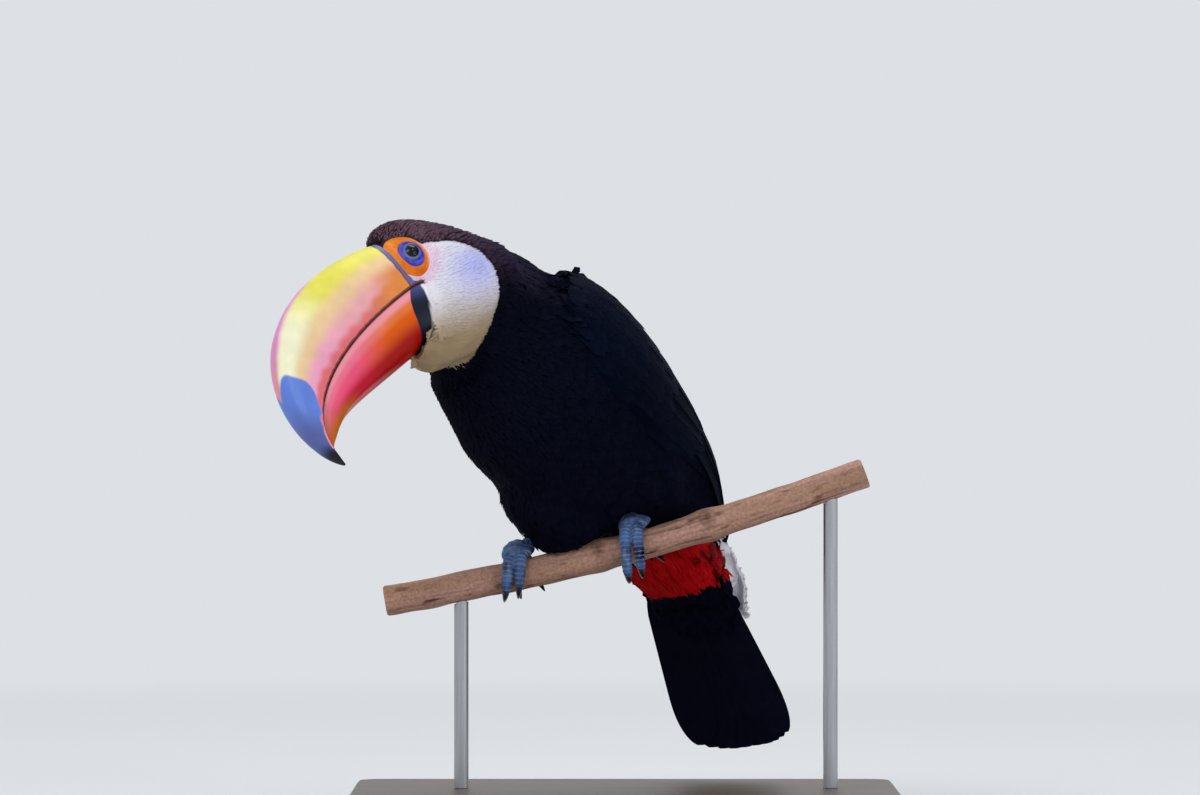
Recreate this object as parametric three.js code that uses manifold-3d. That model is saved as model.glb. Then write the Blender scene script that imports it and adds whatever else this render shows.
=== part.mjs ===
// A toco toucan, life size, gripping a cut length of branch that a plain display stand holds up.
// Millimetres, +Z up. The branch runs along X and the bird faces -X, turned a little towards -Y.
// The origin is the centre of the underside of the stand's base.
import * as THREE from "three";
import { mergeVertices } from "three/addons/utils/BufferGeometryUtils.js";
import Module from "manifold-3d";

const wasm = await Module();
wasm.setup();

// ---------------------------------------------------------------- driving dimensions

const GAP = 0.3; // clearance between neighbouring pieces

// The perch: its axis rises along X in a shallow curve.
const PERCH = { half: 132, height: 143.4, slope: 0.268, bend: 0.0004, radius: 8.4, sides: 12, steps: 16 };
const PERCH_KNOTS = [
  { x: 46, size: 1.1, spread: 7 },
  { x: -14, size: 0.9, spread: 6 },
];

const STAND = { length: 300, depth: 200, thick: 12, corner: 14, bevel: 1.5, rod: 4, rodSides: 16 };
const ROD_X = { left: 113, right: -90 };

// The feathered body, from the tail root up to the back of the head: the middle of each section,
// its half width, and its depth from the middle to the belly and to the back.
const BODY = [
  { at: [38, 55, 117], wide: 16, belly: 8, back: 9 },
  { at: [26, 46, 142], wide: 31, belly: 20, back: 27 },
  { at: [5, 36, 175], wide: 43, belly: 33, back: 43 },
  { at: [-24, 10, 207], wide: 53, belly: 56, back: 54 },
  { at: [-45, -13, 235], wide: 54, belly: 61, back: 54 },
  { at: [-67, -26, 256.5], wide: 46, belly: 50, back: 50 },
  { at: [-81, -36, 274], wide: 38, belly: 40, back: 43 },
  { at: [-94, -46, 287], wide: 31, belly: 35, back: 34 },
];
const BODY_LEFT = new THREE.Vector3(0.672, -0.733, 0.106); // towards the bird's own left flank
const BODY_ENDS = { tail: 7, head: 16 }; // depth of the domes that close the body
const BODY_SIDES = 24;
const BODY_STEPS = 20;

// The head's own frame has its origin at the root of the culmen, the ridge of the bill.
const HEAD = { at: [-138.8, -58, 306.4], heading: 29.1, pitch: -11.4, roll: 36.3, sides: 18 };
// Sections of the head, by their distance behind the culmen root.
const HEAD_SECTIONS = [
  { back: 0, top: 8, bottom: -73, wide: 16.6 },
  { back: 8, top: 14, bottom: -80, wide: 18.2 },
  { back: 19, top: 15.5, bottom: -80, wide: 22.6 },
  { back: 32, top: 10.5, bottom: -77, wide: 28 },
  { back: 46, top: -0.5, bottom: -74, wide: 31 },
  { back: 58, top: -11, bottom: -70, wide: 29 },
];
const HEAD_STEPS = 11;
const NAPE_DEPTH = 16; // of the dome that closes the back of the head
// The fullness of the throat, which carries the chin forward under the bill: middle and half sizes.
const THROAT = { at: [-10, -2, -66], half: [17.5, 18.5, 14], sides: 10, rings: 6 };

// The bill, in the head's frame: forward and up from the culmen root.
const BILL = {
  culmen: 183.9, // length along the ridge
  start: -8.3, // the ridge's slope at the root, in degrees
  end: -132.8, // and at the tip
  tighten: 1.39, // how much the curve gathers towards the tip
  gape: [-6.1, -37.5],
  chin: [0, -65.8],
  gapeSlope: -20.5, // the edge's slope at the gape, and the keel's at the chin
  chinSlope: -26.5,
  edgeReach: 0.34, // how far they keep it, as shares of their span
  keelReach: 0.62,
  edgeHook: [25, 37.7], // where their ends come from, beside the tips they run to
  keelHook: [-18, 29.3],
  wideAtBase: 18.5,
  wideAtTip: 14.9,
  taper: 2.39,
  tipDepth: 0.8,
  square: 2.7, // superellipse power of the cross-section
  band: 4, // how far the bill's base runs back into the feathers
  lowerBow: 4.5, // how much further the sides of the lower mandible's base run back
  lowerReach: 0.93, // the lower mandible ends at this share of the upper one's edge
  lowerWide: 0.97,
  lowerTaper: 5,
  steps: 16,
  sides: 10,
};

const EYE = { back: 13.4, side: 13.4, down: 16.5, radius: 6.2 };

// A folded wing, from its shoulder to its tip as shares of the body's length. Its edges are angles
// round the body: the lower one dips to its lowest at the turn and climbs again to the tip.
const WING = {
  shoulder: 0.78,
  tip: 0.05,
  gap: 1.2,
  rim: 0.8, // thickness of the edges
  thick: 5, // and how much thicker the middle is
  steps: 12,
  across: 6,
  lowest: 84,
  turn: 0.33,
  frontRise: 45,
  tipRise: 72,
  top: 158,
  topRise: 14,
};

const TAIL = {
  tip: [71.5, 81, 30.5],
  down: [0.355, 0.306, -0.883],
  left: [0.833, -0.532, 0.151],
  length: 108, // from the tip up to where the coverts hide the roots of the quills
  wideAtRoot: 26,
  wideAtTip: 39,
  thick: 2.6,
  droop: 4, // how far the outer quills lie below the middle ones
  roundFrom: 0.78, // the share of the length where the sides start to round in to the tip
  steps: 10,
  sides: 14,
};

// Coverts under and over the tail root: middle, half width and half thickness of each section.
const UNDER_COVERTS = [
  { at: [13, 29, 149], wide: 24, thick: 12 },
  { at: [20, 33, 139], wide: 30, thick: 16 },
  { at: [28, 38, 128], wide: 29, thick: 13 },
  { at: [34.5, 43, 118], wide: 27, thick: 9 },
  { at: [38.5, 47.5, 109], wide: 20, thick: 4 },
];
const UPPER_COVERTS = [
  { at: [34, 52, 146], wide: 26, thick: 11 },
  { at: [42, 57, 132], wide: 26, thick: 11 },
  { at: [48, 62.5, 117], wide: 24, thick: 8 },
  { at: [53, 67, 104], wide: 17, thick: 3 },
];
// Where plain cuts part the body, as shares of its length.
const CUTS = { head: 0.93, neck: 0.77 };
const COVERT_STEPS = 6;
const COVERT_SIDES = 12;

// Each foot: its place along the perch, how its toes hold it, and the thigh above, whose ankle is
// hidden among the belly feathers. Curl stretches the reach of the toes, slant carries them along
// the perch on the way round, and loose is how far the tips of the front ones hang off it.
const FEET = {
  left: {
    x: 6.5,
    curl: 1.12,
    slant: 1,
    loose: 6,
    ankle: [28, 13, 170],
    ankleRadius: 15,
    hip: [2, -8, 196],
    hipRadius: 27,
  },
  right: {
    x: -57.5,
    curl: 1,
    slant: 0,
    loose: 0,
    ankle: [-29, 13, 149],
    ankleRadius: 24,
    hip: [-49, -14, 194],
    hipRadius: 35,
  },
};
const THIGH = { sides: 12, steps: 6 };
// A leg is rooted at this share of the thigh, above the ankle, and thickens into the ball of the
// foot, which is centred at a share of the leg.
const LEG = { root: 0.8, radius: 3.6, ball: 6, ballAt: 0.8, sides: 10, steps: 12 };
// A toe starts this many degrees round from the top of the perch, and lies just off its bark.
const TOE = { radius: 3.1, tip: 2.4, start: 24, off: 0.7, sides: 6, steps: 6 };
const CLAW = { radius: 2, point: 0.3, length: 11, hook: 5, sides: 5, steps: 4 };
// The toes of one foot: which side of the perch they hold, their offset along it, how far round
// they reach and how much further than the foot they slant.
const TOES = [
  { number: 1, side: -1, offset: 3.4, reach: 106, slant: 4 },
  { number: 2, side: 1, offset: 3.6, reach: 118, slant: -6 },
  { number: 3, side: 1, offset: -3.4, reach: 126, slant: -5.5 },
  { number: 4, side: -1, offset: -3.4, reach: 122, slant: 1 },
];

// ---------------------------------------------------------------- materials

const finish = (color, roughness) => new THREE.MeshStandardMaterial({ color, roughness, metalness: 0 });
const MATERIALS = {
  blackFeather: finish(0x0d0f1c, 0.8),
  crownFeather: finish(0x24151c, 0.8),
  whiteFeather: finish(0xe6e0ee, 0.85),
  redFeather: finish(0xb0101c, 0.8),
  upperBill: finish(0xf2b23c, 0.3),
  lowerBill: finish(0xe5542f, 0.3),
  eye: finish(0x141628, 0.08),
  foot: finish(0x4b74ad, 0.55),
  claw: finish(0x15161c, 0.4),
  bark: finish(0xa57d69, 0.85),
  standBase: finish(0x3c2f28, 0.5),
  standRod: finish(0x6f7276, 0.4),
};

// ---------------------------------------------------------------- solids from sections

const vector = (list) => new THREE.Vector3(...list);
const mix = THREE.MathUtils.lerp;
const radians = THREE.MathUtils.degToRad;
const range = (count) => [...Array(count).keys()];

// A closed geometry over a row of rings that all hold the same number of points.
function loft(rings) {
  const size = rings[0].length;
  const points = rings.flat();
  const faces = [];
  for (const i of range(rings.length - 1)) {
    for (const k of range(size)) {
      const a = i * size + k;
      const b = i * size + ((k + 1) % size);
      faces.push([a, b, a + size], [b, b + size, a + size]);
    }
  }
  const ends = [
    { first: 0, flip: true },
    { first: (rings.length - 1) * size, flip: false },
  ];
  for (const { first, flip } of ends) {
    const middle = new THREE.Vector3();
    for (const k of range(size)) middle.addScaledVector(points[first + k], 1 / size);
    points.push(middle);
    for (const k of range(size)) {
      const edge = [first + k, first + ((k + 1) % size)];
      faces.push([...(flip ? edge.reverse() : edge), points.length - 1]);
    }
  }
  const geometry = new THREE.BufferGeometry().setFromPoints(points);
  geometry.setIndex(insideOut(points, faces) ? faces.map((f) => f.reverse()).flat() : faces.flat());
  return geometry;
}

// True where the faces of a closed shape point inwards, so that it has a negative volume.
function insideOut(points, faces) {
  const side = new THREE.Vector3();
  const volume = faces.reduce((sum, [a, b, c]) => {
    return sum + side.crossVectors(points[b], points[c]).dot(points[a]);
  }, 0);
  return volume < 0;
}

// A geometry, moved to its place, as a manifold solid.
function solidOf(geometry) {
  const bare = geometry.clone();
  bare.deleteAttribute("normal");
  bare.deleteAttribute("uv");
  const merged = mergeVertices(bare, 1e-4);
  return new wasm.Manifold(
    new wasm.Mesh({
      numProp: 3,
      vertProperties: merged.attributes.position.array,
      triVerts: new Uint32Array(merged.index.array),
    }),
  );
}

function geometryOf(solid) {
  const { vertProperties, triVerts, numProp, numVert } = solid.getMesh();
  const position = new Float32Array(numVert * 3);
  for (const i of range(numVert)) position.set(vertProperties.subarray(i * numProp, i * numProp + 3), i * 3);
  const geometry = new THREE.BufferGeometry();
  geometry.setAttribute("position", new THREE.BufferAttribute(position, 3));
  geometry.setIndex(new THREE.BufferAttribute(new Uint32Array(triVerts), 1));
  geometry.computeVertexNormals();
  return geometry;
}

// A smooth run through the given values of a list of sections, as a function of 0 to 1.
function smoothRun(sections, valuesOf) {
  const curve = new THREE.CatmullRomCurve3(sections.map((s) => vector(valuesOf(s))));
  return (t) => curve.getPoint(THREE.MathUtils.clamp(t, 0, 1));
}

// Rings that close a loft with a dome: the last ring drawn together while it moves along.
function dome(ring, along, depth) {
  const middle = new THREE.Vector3();
  for (const point of ring) middle.addScaledVector(point, 1 / ring.length);
  return [25, 50, 72].map((angle) =>
    ring.map((point) => {
      const shrunk = middle.clone().lerp(point, Math.cos(radians(angle)));
      return shrunk.addScaledVector(along, depth * Math.sin(radians(angle)));
    }),
  );
}

// A round tube along a path, with a radius that changes and rounded ends.
function tube({ path, radius, across, sides, steps }) {
  const rings = range(steps + 1).map((i) => {
    const t = i / steps;
    const middle = path(t);
    const ahead = path(Math.min(t + 0.01, 1)).sub(path(Math.max(t - 0.01, 0))).normalize();
    const u = across.clone().addScaledVector(ahead, -across.dot(ahead)).normalize();
    const v = new THREE.Vector3().crossVectors(ahead, u);
    return range(sides).map((k) => {
      const angle = (k / sides) * 2 * Math.PI;
      const point = middle.clone().addScaledVector(u, radius(t) * Math.cos(angle));
      return point.addScaledVector(v, radius(t) * Math.sin(angle));
    });
  });
  return loft(rings);
}

// ---------------------------------------------------------------- perch and stand

const perchHeight = (x) => PERCH.height + PERCH.slope * x + PERCH.bend * x * x;

// The perch's frame at a place along it: its middle, its run and the way up across it.
function perchFrame(x) {
  const slope = PERCH.slope + 2 * PERCH.bend * x;
  const along = new THREE.Vector3(1, 0, slope).normalize();
  const up = new THREE.Vector3(-slope, 0, 1).normalize();
  return { middle: new THREE.Vector3(x, 0, perchHeight(x)), along, up };
}

function perchRadius(x) {
  const knots = PERCH_KNOTS.reduce((sum, k) => sum + k.size * Math.exp(-(((x - k.x) / k.spread) ** 2)), 0);
  return PERCH.radius + knots;
}

// A point off the perch's axis, at an angle from its top, positive towards -Y.
function besidePerch(x, angle, distance) {
  const { middle, up } = perchFrame(x);
  const point = middle.addScaledVector(up, distance * Math.cos(angle));
  point.y -= distance * Math.sin(angle);
  return point;
}

function perchSolid(grow) {
  const rings = range(PERCH.steps + 1).map((i) => {
    const x = mix(-PERCH.half, PERCH.half, i / PERCH.steps);
    return range(PERCH.sides).map((k) => {
      const angle = ((k + 0.5) / PERCH.sides) * 2 * Math.PI;
      return besidePerch(x, angle, perchRadius(x) + grow);
    });
  });
  return solidOf(loft(rings));
}

function standBase() {
  const { length, depth, thick, corner, bevel } = STAND;
  const x = length / 2 - bevel;
  const y = depth / 2 - bevel;
  const outline = new THREE.Shape();
  outline.absarc(x - corner, y - corner, corner, 0, Math.PI / 2);
  outline.absarc(-x + corner, y - corner, corner, Math.PI / 2, Math.PI);
  outline.absarc(-x + corner, -y + corner, corner, Math.PI, 1.5 * Math.PI);
  outline.absarc(x - corner, -y + corner, corner, 1.5 * Math.PI, 2 * Math.PI);
  const options = { depth: thick - 2 * bevel, bevelSize: bevel, bevelThickness: bevel, bevelSegments: 1 };
  const geometry = new THREE.ExtrudeGeometry(outline, { ...options, curveSegments: 5 });
  geometry.translate(0, 0, bevel);
  return geometry;
}

// A rod from just over the base to the underside of the perch, which hollows its top.
function standRod(x, perchCutter) {
  const bottom = STAND.thick + GAP;
  const length = perchHeight(x) - bottom;
  const rod = new THREE.CylinderGeometry(STAND.rod, STAND.rod, length, STAND.rodSides);
  rod.rotateX(Math.PI / 2);
  rod.translate(x, 0, bottom + length / 2);
  return solidOf(rod).subtract(perchCutter);
}

// ---------------------------------------------------------------- body, neck and head

const bodyMiddle = smoothRun(BODY, (s) => s.at);
const bodySize = smoothRun(BODY, (s) => [s.wide, s.belly, s.back]);

// The frame of the body at a share of its length: its middle, the way forward, left and back.
function bodyFrame(t) {
  const forward = bodyMiddle(t + 0.01).sub(bodyMiddle(t - 0.01)).normalize();
  const left = BODY_LEFT.clone().addScaledVector(forward, -BODY_LEFT.dot(forward)).normalize();
  const back = new THREE.Vector3().crossVectors(forward, left);
  return { middle: bodyMiddle(t), forward, left, back };
}

// A point of the body's surface, at an angle that is 0 at the belly and 180 at the back,
// and positive over the left flank.
function bodyPoint(t, angle, grow) {
  const { middle, left, back } = bodyFrame(t);
  const size = bodySize(t);
  const deep = Math.cos(angle) > 0 ? size.y : size.z;
  const point = middle.addScaledVector(left, (size.x + grow) * Math.sin(angle));
  return point.addScaledVector(back, -(deep + grow) * Math.cos(angle));
}

function bodySolid(grow) {
  const rings = range(BODY_STEPS + 1).map((i) =>
    range(BODY_SIDES).map((k) => bodyPoint(i / BODY_STEPS, (k / BODY_SIDES) * 2 * Math.PI, grow)),
  );
  const tailEnd = dome(rings[0], bodyFrame(0).forward.negate(), BODY_ENDS.tail);
  const headEnd = dome(rings.at(-1), bodyFrame(1).forward, BODY_ENDS.head);
  return solidOf(loft([...tailEnd.reverse(), ...rings, ...headEnd]));
}

// The axes of something that points along a heading from -X towards -Y, pitched up, and then
// rolled about its own run so that its left side rises.
function axesOf({ heading, pitch, roll }) {
  const [h, p, r] = [heading, pitch, roll].map(radians);
  const forward = new THREE.Vector3(-Math.cos(h) * Math.cos(p), -Math.sin(h) * Math.cos(p), Math.sin(p));
  const level = new THREE.Vector3(Math.sin(h), -Math.cos(h), 0);
  const upright = new THREE.Vector3().crossVectors(forward, level);
  const left = level.clone().multiplyScalar(Math.cos(r)).addScaledVector(upright, Math.sin(r));
  const up = new THREE.Vector3().crossVectors(forward, left);
  return { forward, left, up };
}

const headAxes = axesOf(HEAD);

// A point in the head's frame: forward of the culmen root, to the bird's left, and up.
function headPoint(forward, left, up) {
  const point = vector(HEAD.at);
  point.addScaledVector(headAxes.forward, forward);
  point.addScaledVector(headAxes.left, left);
  return point.addScaledVector(headAxes.up, up);
}

function headSolid(grow) {
  const place = smoothRun(HEAD_SECTIONS, (s) => [s.back, s.top, s.bottom]);
  const width = smoothRun(HEAD_SECTIONS, (s) => [s.wide, 0, 0]);
  const rings = range(HEAD_STEPS + 1).map((i) => {
    const { x: back, y: top, z: bottom } = place(i / HEAD_STEPS);
    const wide = width(i / HEAD_STEPS).x + grow;
    const high = (top - bottom) / 2 + grow;
    return range(HEAD.sides).map((k) => {
      const angle = (k / HEAD.sides) * 2 * Math.PI;
      return headPoint(-back, wide * Math.sin(angle), (top + bottom) / 2 + high * Math.cos(angle));
    });
  });
  const nape = dome(rings.at(-1), headAxes.forward.clone().negate(), NAPE_DEPTH);
  return solidOf(loft([...rings, ...nape]));
}

// The rounded throat, as an ellipsoid along the head's axes.
function throatSolid() {
  const { forward, left, up } = headAxes;
  const [long, wide, high] = THROAT.half;
  const axes = [forward.clone().multiplyScalar(long), left.clone().multiplyScalar(wide)];
  const place = new THREE.Matrix4().makeBasis(...axes, up.clone().multiplyScalar(high));
  const ball = new THREE.SphereGeometry(1, THROAT.sides, THROAT.rings);
  return solidOf(ball.applyMatrix4(place.setPosition(headPoint(...THROAT.at))));
}

// A slab that parts a body across its run, as wide as the body, standing on the given plane.
function slab(middle, normal, thick) {
  const box = new THREE.BoxGeometry(260, 260, thick);
  const turn = new THREE.Quaternion().setFromUnitVectors(new THREE.Vector3(0, 0, 1), normal);
  box.applyQuaternion(turn);
  box.translate(...middle.toArray());
  return solidOf(box);
}

// Everything of a solid that lies beyond a plane, clear of it by half a gap.
function beyond(solid, point, normal) {
  const reach = 200;
  const middle = point.clone().addScaledVector(normal, reach / 2 + GAP / 2);
  return solid.intersect(slab(middle, normal, reach));
}

// ---------------------------------------------------------------- bill and eyes

function turningCurve(length, from, to, power, steps) {
  const points = [new THREE.Vector2(0, 0)];
  const slopeAt = (t) => radians(mix(from, to, t ** power));
  for (const i of range(steps)) {
    const slope = slopeAt((i + 0.5) / steps);
    const stride = new THREE.Vector2(Math.cos(slope), Math.sin(slope)).multiplyScalar(length / steps);
    points.push(points.at(-1).clone().add(stride));
  }
  return points;
}

const slopeVector = (degrees) => new THREE.Vector2(Math.cos(radians(degrees)), Math.sin(radians(degrees)));

// A curve from a start, which it leaves at a slope, to an end.
function sweep(start, slope, reach, hook, end) {
  const span = start.distanceTo(end);
  const leaving = start.clone().addScaledVector(slopeVector(slope), reach * span);
  return new THREE.CubicBezierCurve(start, leaving, end.clone().add(new THREE.Vector2(...hook)), end);
}

// The bill's three lines in the head's plane of symmetry: the ridge, point by point, the edges
// where the mandibles meet, and the keel of the lower mandible.
function billLines() {
  const ridge = turningCurve(BILL.culmen, BILL.start, BILL.end, BILL.tighten, BILL.steps);
  const gape = new THREE.Vector2(...BILL.gape);
  const chin = new THREE.Vector2(...BILL.chin);
  const edge = sweep(gape, BILL.gapeSlope, BILL.edgeReach, BILL.edgeHook, ridge.at(-1));
  const lowerTip = edge.getPoint(BILL.lowerReach);
  const keel = sweep(chin, BILL.chinSlope, BILL.keelReach, BILL.keelHook, lowerTip);
  return { ridge, edge, keel };
}

function billWidth(share) {
  const even = mix(BILL.wideAtBase, BILL.wideAtTip, share);
  return even * Math.max(1 - share ** BILL.taper, 0.0004) ** 0.6;
}

// One mandible: half superellipses that stand on the line of the edges and reach to its far line,
// with the flat side pulled back from the edges by the given gap.
function mandible(stations, { pull, bow, grow }) {
  const rings = stations.map(({ share, edge, far, wide }, i) => {
    const reach = far.clone().sub(edge);
    const depth = Math.max(reach.length(), BILL.tipDepth);
    const sunk = (depth - reach.length()) / 2; // at the tip, where the two lines meet
    const up = reach.length() > 0.1 ? reach.normalize() : slopeVector(BILL.end + 90);
    const high = depth + 2 * grow;
    const base = edge.clone().addScaledVector(up, Math.min(pull, 0.3 * high) - grow - sunk);
    const half = Math.max(wide * billWidth(share), 0.5) + grow;
    return range(BILL.sides + 1).map((k) => {
      const angle = mix(-Math.PI / 2, Math.PI / 2, k / BILL.sides);
      const across = half * Math.sign(angle) * Math.abs(Math.sin(angle)) ** (2 / BILL.square);
      const rise = high * Math.max(Math.cos(angle), 0) ** (2 / BILL.square);
      const point = base.clone().addScaledVector(up, rise);
      const behind = i === 0 ? BILL.band + bow * Math.abs(Math.sin(2 * angle)) + grow : 0;
      return headPoint(point.x - behind, across, point.y);
    });
  });
  return solidOf(loft(rings));
}

function upperBill(grow) {
  const { ridge, edge } = billLines();
  const stations = ridge.map((far, i) => {
    const share = i / BILL.steps;
    return { share, edge: edge.getPoint(share), far, wide: 1 };
  });
  return mandible(stations, { pull: 0, bow: 0, grow });
}

function lowerBill(grow) {
  const { edge, keel } = billLines();
  const stations = range(BILL.steps + 1).map((i) => {
    const t = i / BILL.steps;
    const share = BILL.lowerReach * t;
    const wide = BILL.lowerWide * Math.sqrt(1 - t ** BILL.lowerTaper);
    return { share, edge: edge.getPoint(share), far: keel.getPoint(share), wide };
  });
  return mandible(stations, { pull: 2 * GAP, bow: BILL.lowerBow, grow });
}

function eyeball(side, grow) {
  const ball = new THREE.SphereGeometry(EYE.radius + grow, 10, 7);
  ball.translate(...headPoint(-EYE.back, side * EYE.side, -EYE.down).toArray());
  return solidOf(ball);
}

// ---------------------------------------------------------------- wings

// A folded wing: a shell over the flank, whose upper edge lies along the back.
function wing(side, grow) {
  const front = (q) => WING.frontRise * (1 - q / WING.turn) ** 2;
  const climb = (q) => WING.tipRise * ((q - WING.turn) / (1 - WING.turn)) ** 1.9;
  const lowerEdge = (q) => WING.lowest + (q < WING.turn ? front(q) : climb(q));
  const upperEdge = (q) => WING.top + WING.topRise * Math.sin((Math.PI / 2) * Math.min(q * 2, 1));
  const thickness = (q, r) => {
    const swell = Math.sin(Math.PI * mix(0.06, 0.94, r)) ** 0.6;
    const ends = Math.min(1, 0.25 + q * 6) * Math.min(1, 0.25 + (1 - q) * 4);
    return WING.rim + WING.thick * swell * ends + 2 * grow;
  };
  const rings = range(WING.steps + 1).map((i) => {
    const q = i / WING.steps;
    const t = mix(WING.shoulder, WING.tip, q) + grow * 0.01 * (1 - 2 * q);
    const at = (r) => side * radians(mix(lowerEdge(q) - grow, upperEdge(q) + grow, r));
    const inner = range(WING.across + 1).map((k) => bodyPoint(t, at(k / WING.across), WING.gap - grow));
    const outer = range(WING.across + 1).map((k) => {
      const r = 1 - k / WING.across;
      return bodyPoint(t, at(r), WING.gap - grow + thickness(q, r));
    });
    return [...inner, ...outer];
  });
  return solidOf(loft(rings));
}

// ---------------------------------------------------------------- tail and its coverts

function tailSolid(grow) {
  const tip = vector(TAIL.tip);
  const down = vector(TAIL.down).normalize();
  const left = vector(TAIL.left).normalize();
  const back = new THREE.Vector3().crossVectors(left, down);
  const rings = range(TAIL.steps + 1).map((i) => {
    const share = Math.sin((i / TAIL.steps) * (Math.PI / 2)); // steps gather at the tip
    const end = Math.max((share - TAIL.roundFrom) / (1 - TAIL.roundFrom), 0);
    const round = Math.sqrt(Math.max(1 - end ** 2.6, 0.004));
    const wide = mix(TAIL.wideAtRoot, TAIL.wideAtTip, share) * round + grow;
    const thick = TAIL.thick * mix(1.3, 0.6, share) + grow;
    const middle = tip.clone().addScaledVector(down, -TAIL.length * (1 - share));
    return range(TAIL.sides).map((k) => {
      const angle = (k / TAIL.sides) * 2 * Math.PI;
      const across = Math.cos(angle);
      const point = middle.clone().addScaledVector(left, wide * across);
      return point.addScaledVector(back, thick * Math.sin(angle) - TAIL.droop * across * across);
    });
  });
  return solidOf(loft(rings));
}

// A bunch of coverts that lies along the tail root, from flattened sections.
function coverts(sections, grow) {
  const middle = smoothRun(sections, (s) => s.at);
  const size = smoothRun(sections, (s) => [s.wide, s.thick, 0]);
  const left = vector(TAIL.left).normalize();
  const rings = range(COVERT_STEPS + 1).map((i) => {
    const t = i / COVERT_STEPS;
    const ahead = middle(t + 0.02).sub(middle(t - 0.02)).normalize();
    const side = left.clone().addScaledVector(ahead, -left.dot(ahead)).normalize();
    const back = new THREE.Vector3().crossVectors(side, ahead);
    const { x: wide, y: thick } = size(t);
    return range(COVERT_SIDES).map((k) => {
      const angle = (k / COVERT_SIDES) * 2 * Math.PI;
      const point = middle(t).addScaledVector(side, (wide + grow) * Math.cos(angle));
      return point.addScaledVector(back, (thick + grow) * Math.sin(angle));
    });
  });
  return solidOf(loft(rings));
}

// ---------------------------------------------------------------- legs

const footTop = (foot) => besidePerch(foot.x, 0, perchRadius(foot.x) + LEG.ball - 1);

// A feathered thigh, from the side of the belly down and back to the ankle.
function thigh(foot, grow) {
  const hip = vector(foot.hip);
  const ankle = vector(foot.ankle);
  const swell = (t) => Math.sqrt(Math.sin(Math.PI * mix(0.1, 0.9, t)));
  return solidOf(
    tube({
      path: (t) => hip.clone().lerp(ankle, t),
      radius: (t) => mix(foot.hipRadius, foot.ankleRadius, t) * swell(t) + grow,
      across: new THREE.Vector3(0, 1, 0),
      sides: THIGH.sides,
      steps: THIGH.steps,
    }),
  );
}

// The scaled part of a leg, from inside the ankle to the ball of the foot on top of the perch.
function leg(foot, grow) {
  const root = vector(foot.hip).lerp(vector(foot.ankle), LEG.root);
  const ball = footTop(foot);
  const half = 1 - LEG.ballAt;
  const swell = (t) => LEG.ball * Math.sqrt(Math.max(1 - ((t - LEG.ballAt) / half) ** 2, 0.03));
  return solidOf(
    tube({
      path: (t) => root.clone().lerp(ball, t / LEG.ballAt),
      radius: (t) => Math.max(t < LEG.ballAt ? LEG.radius : 0, swell(t)) + grow,
      across: new THREE.Vector3(0, 1, 0),
      sides: LEG.sides,
      steps: LEG.steps,
    }),
  );
}

// The route of a toe round the perch, as a function of 0 to 1, which runs on into its claw.
function toeRoute(foot, toe) {
  return (t) => {
    const angle = toe.side * radians(mix(TOE.start, toe.reach * foot.curl, t));
    const x = foot.x + toe.offset * mix(0.92, 1.15, t) + (foot.slant + toe.slant) * t;
    const loose = toe.side > 0 ? foot.loose * t * t : 0;
    return besidePerch(x, angle, perchRadius(x) + TOE.radius + TOE.off + loose);
  };
}

function toeSolid(foot, toe, grow) {
  return solidOf(
    tube({
      path: toeRoute(foot, toe),
      radius: (t) => mix(TOE.radius, TOE.tip, t) * Math.min(1, 0.55 + (1 - t) * 5) + grow,
      across: perchFrame(foot.x).along,
      sides: TOE.sides,
      steps: TOE.steps,
    }),
  );
}

function clawSolid(foot, toe, grow) {
  const route = toeRoute(foot, toe);
  const start = route(0.95);
  const ahead = route(1).sub(route(0.9)).normalize();
  const inwards = perchFrame(start.x).middle.sub(start).normalize();
  return solidOf(
    tube({
      path: (t) => {
        const straight = start.clone().addScaledVector(ahead, CLAW.length * t);
        return straight.addScaledVector(inwards, CLAW.hook * t * t);
      },
      radius: (t) => CLAW.radius * (1 - t) ** 0.7 + CLAW.point + grow,
      across: perchFrame(foot.x).along,
      sides: CLAW.sides,
      steps: CLAW.steps,
    }),
  );
}

// ---------------------------------------------------------------- assembly

const model = new THREE.Group();

function place(name, geometry, material) {
  const mesh = new THREE.Mesh(geometry, material);
  mesh.name = name;
  model.add(mesh);
}

function placeSolid(name, solid, material) {
  place(name, geometryOf(solid), material);
}

const cutAway = (solid, cutters) => cutters.reduce((rest, cutter) => rest.subtract(cutter), solid);

const SIDES = [
  { name: "left", sign: 1 },
  { name: "right", sign: -1 },
];
const perchCutter = perchSolid(GAP);

place("stand_base", standBase(), MATERIALS.standBase);
placeSolid("perch", perchSolid(0), MATERIALS.bark);
for (const { name } of SIDES) {
  placeSolid("stand_rod_" + name, standRod(ROD_X[name], perchCutter), MATERIALS.standRod);
}

placeSolid("bill_upper", upperBill(0), MATERIALS.upperBill);
placeSolid("bill_lower", lowerBill(0), MATERIALS.lowerBill);
for (const { name, sign } of SIDES) {
  placeSolid("eye_" + name, eyeball(sign, 0), MATERIALS.eye);
}

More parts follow.
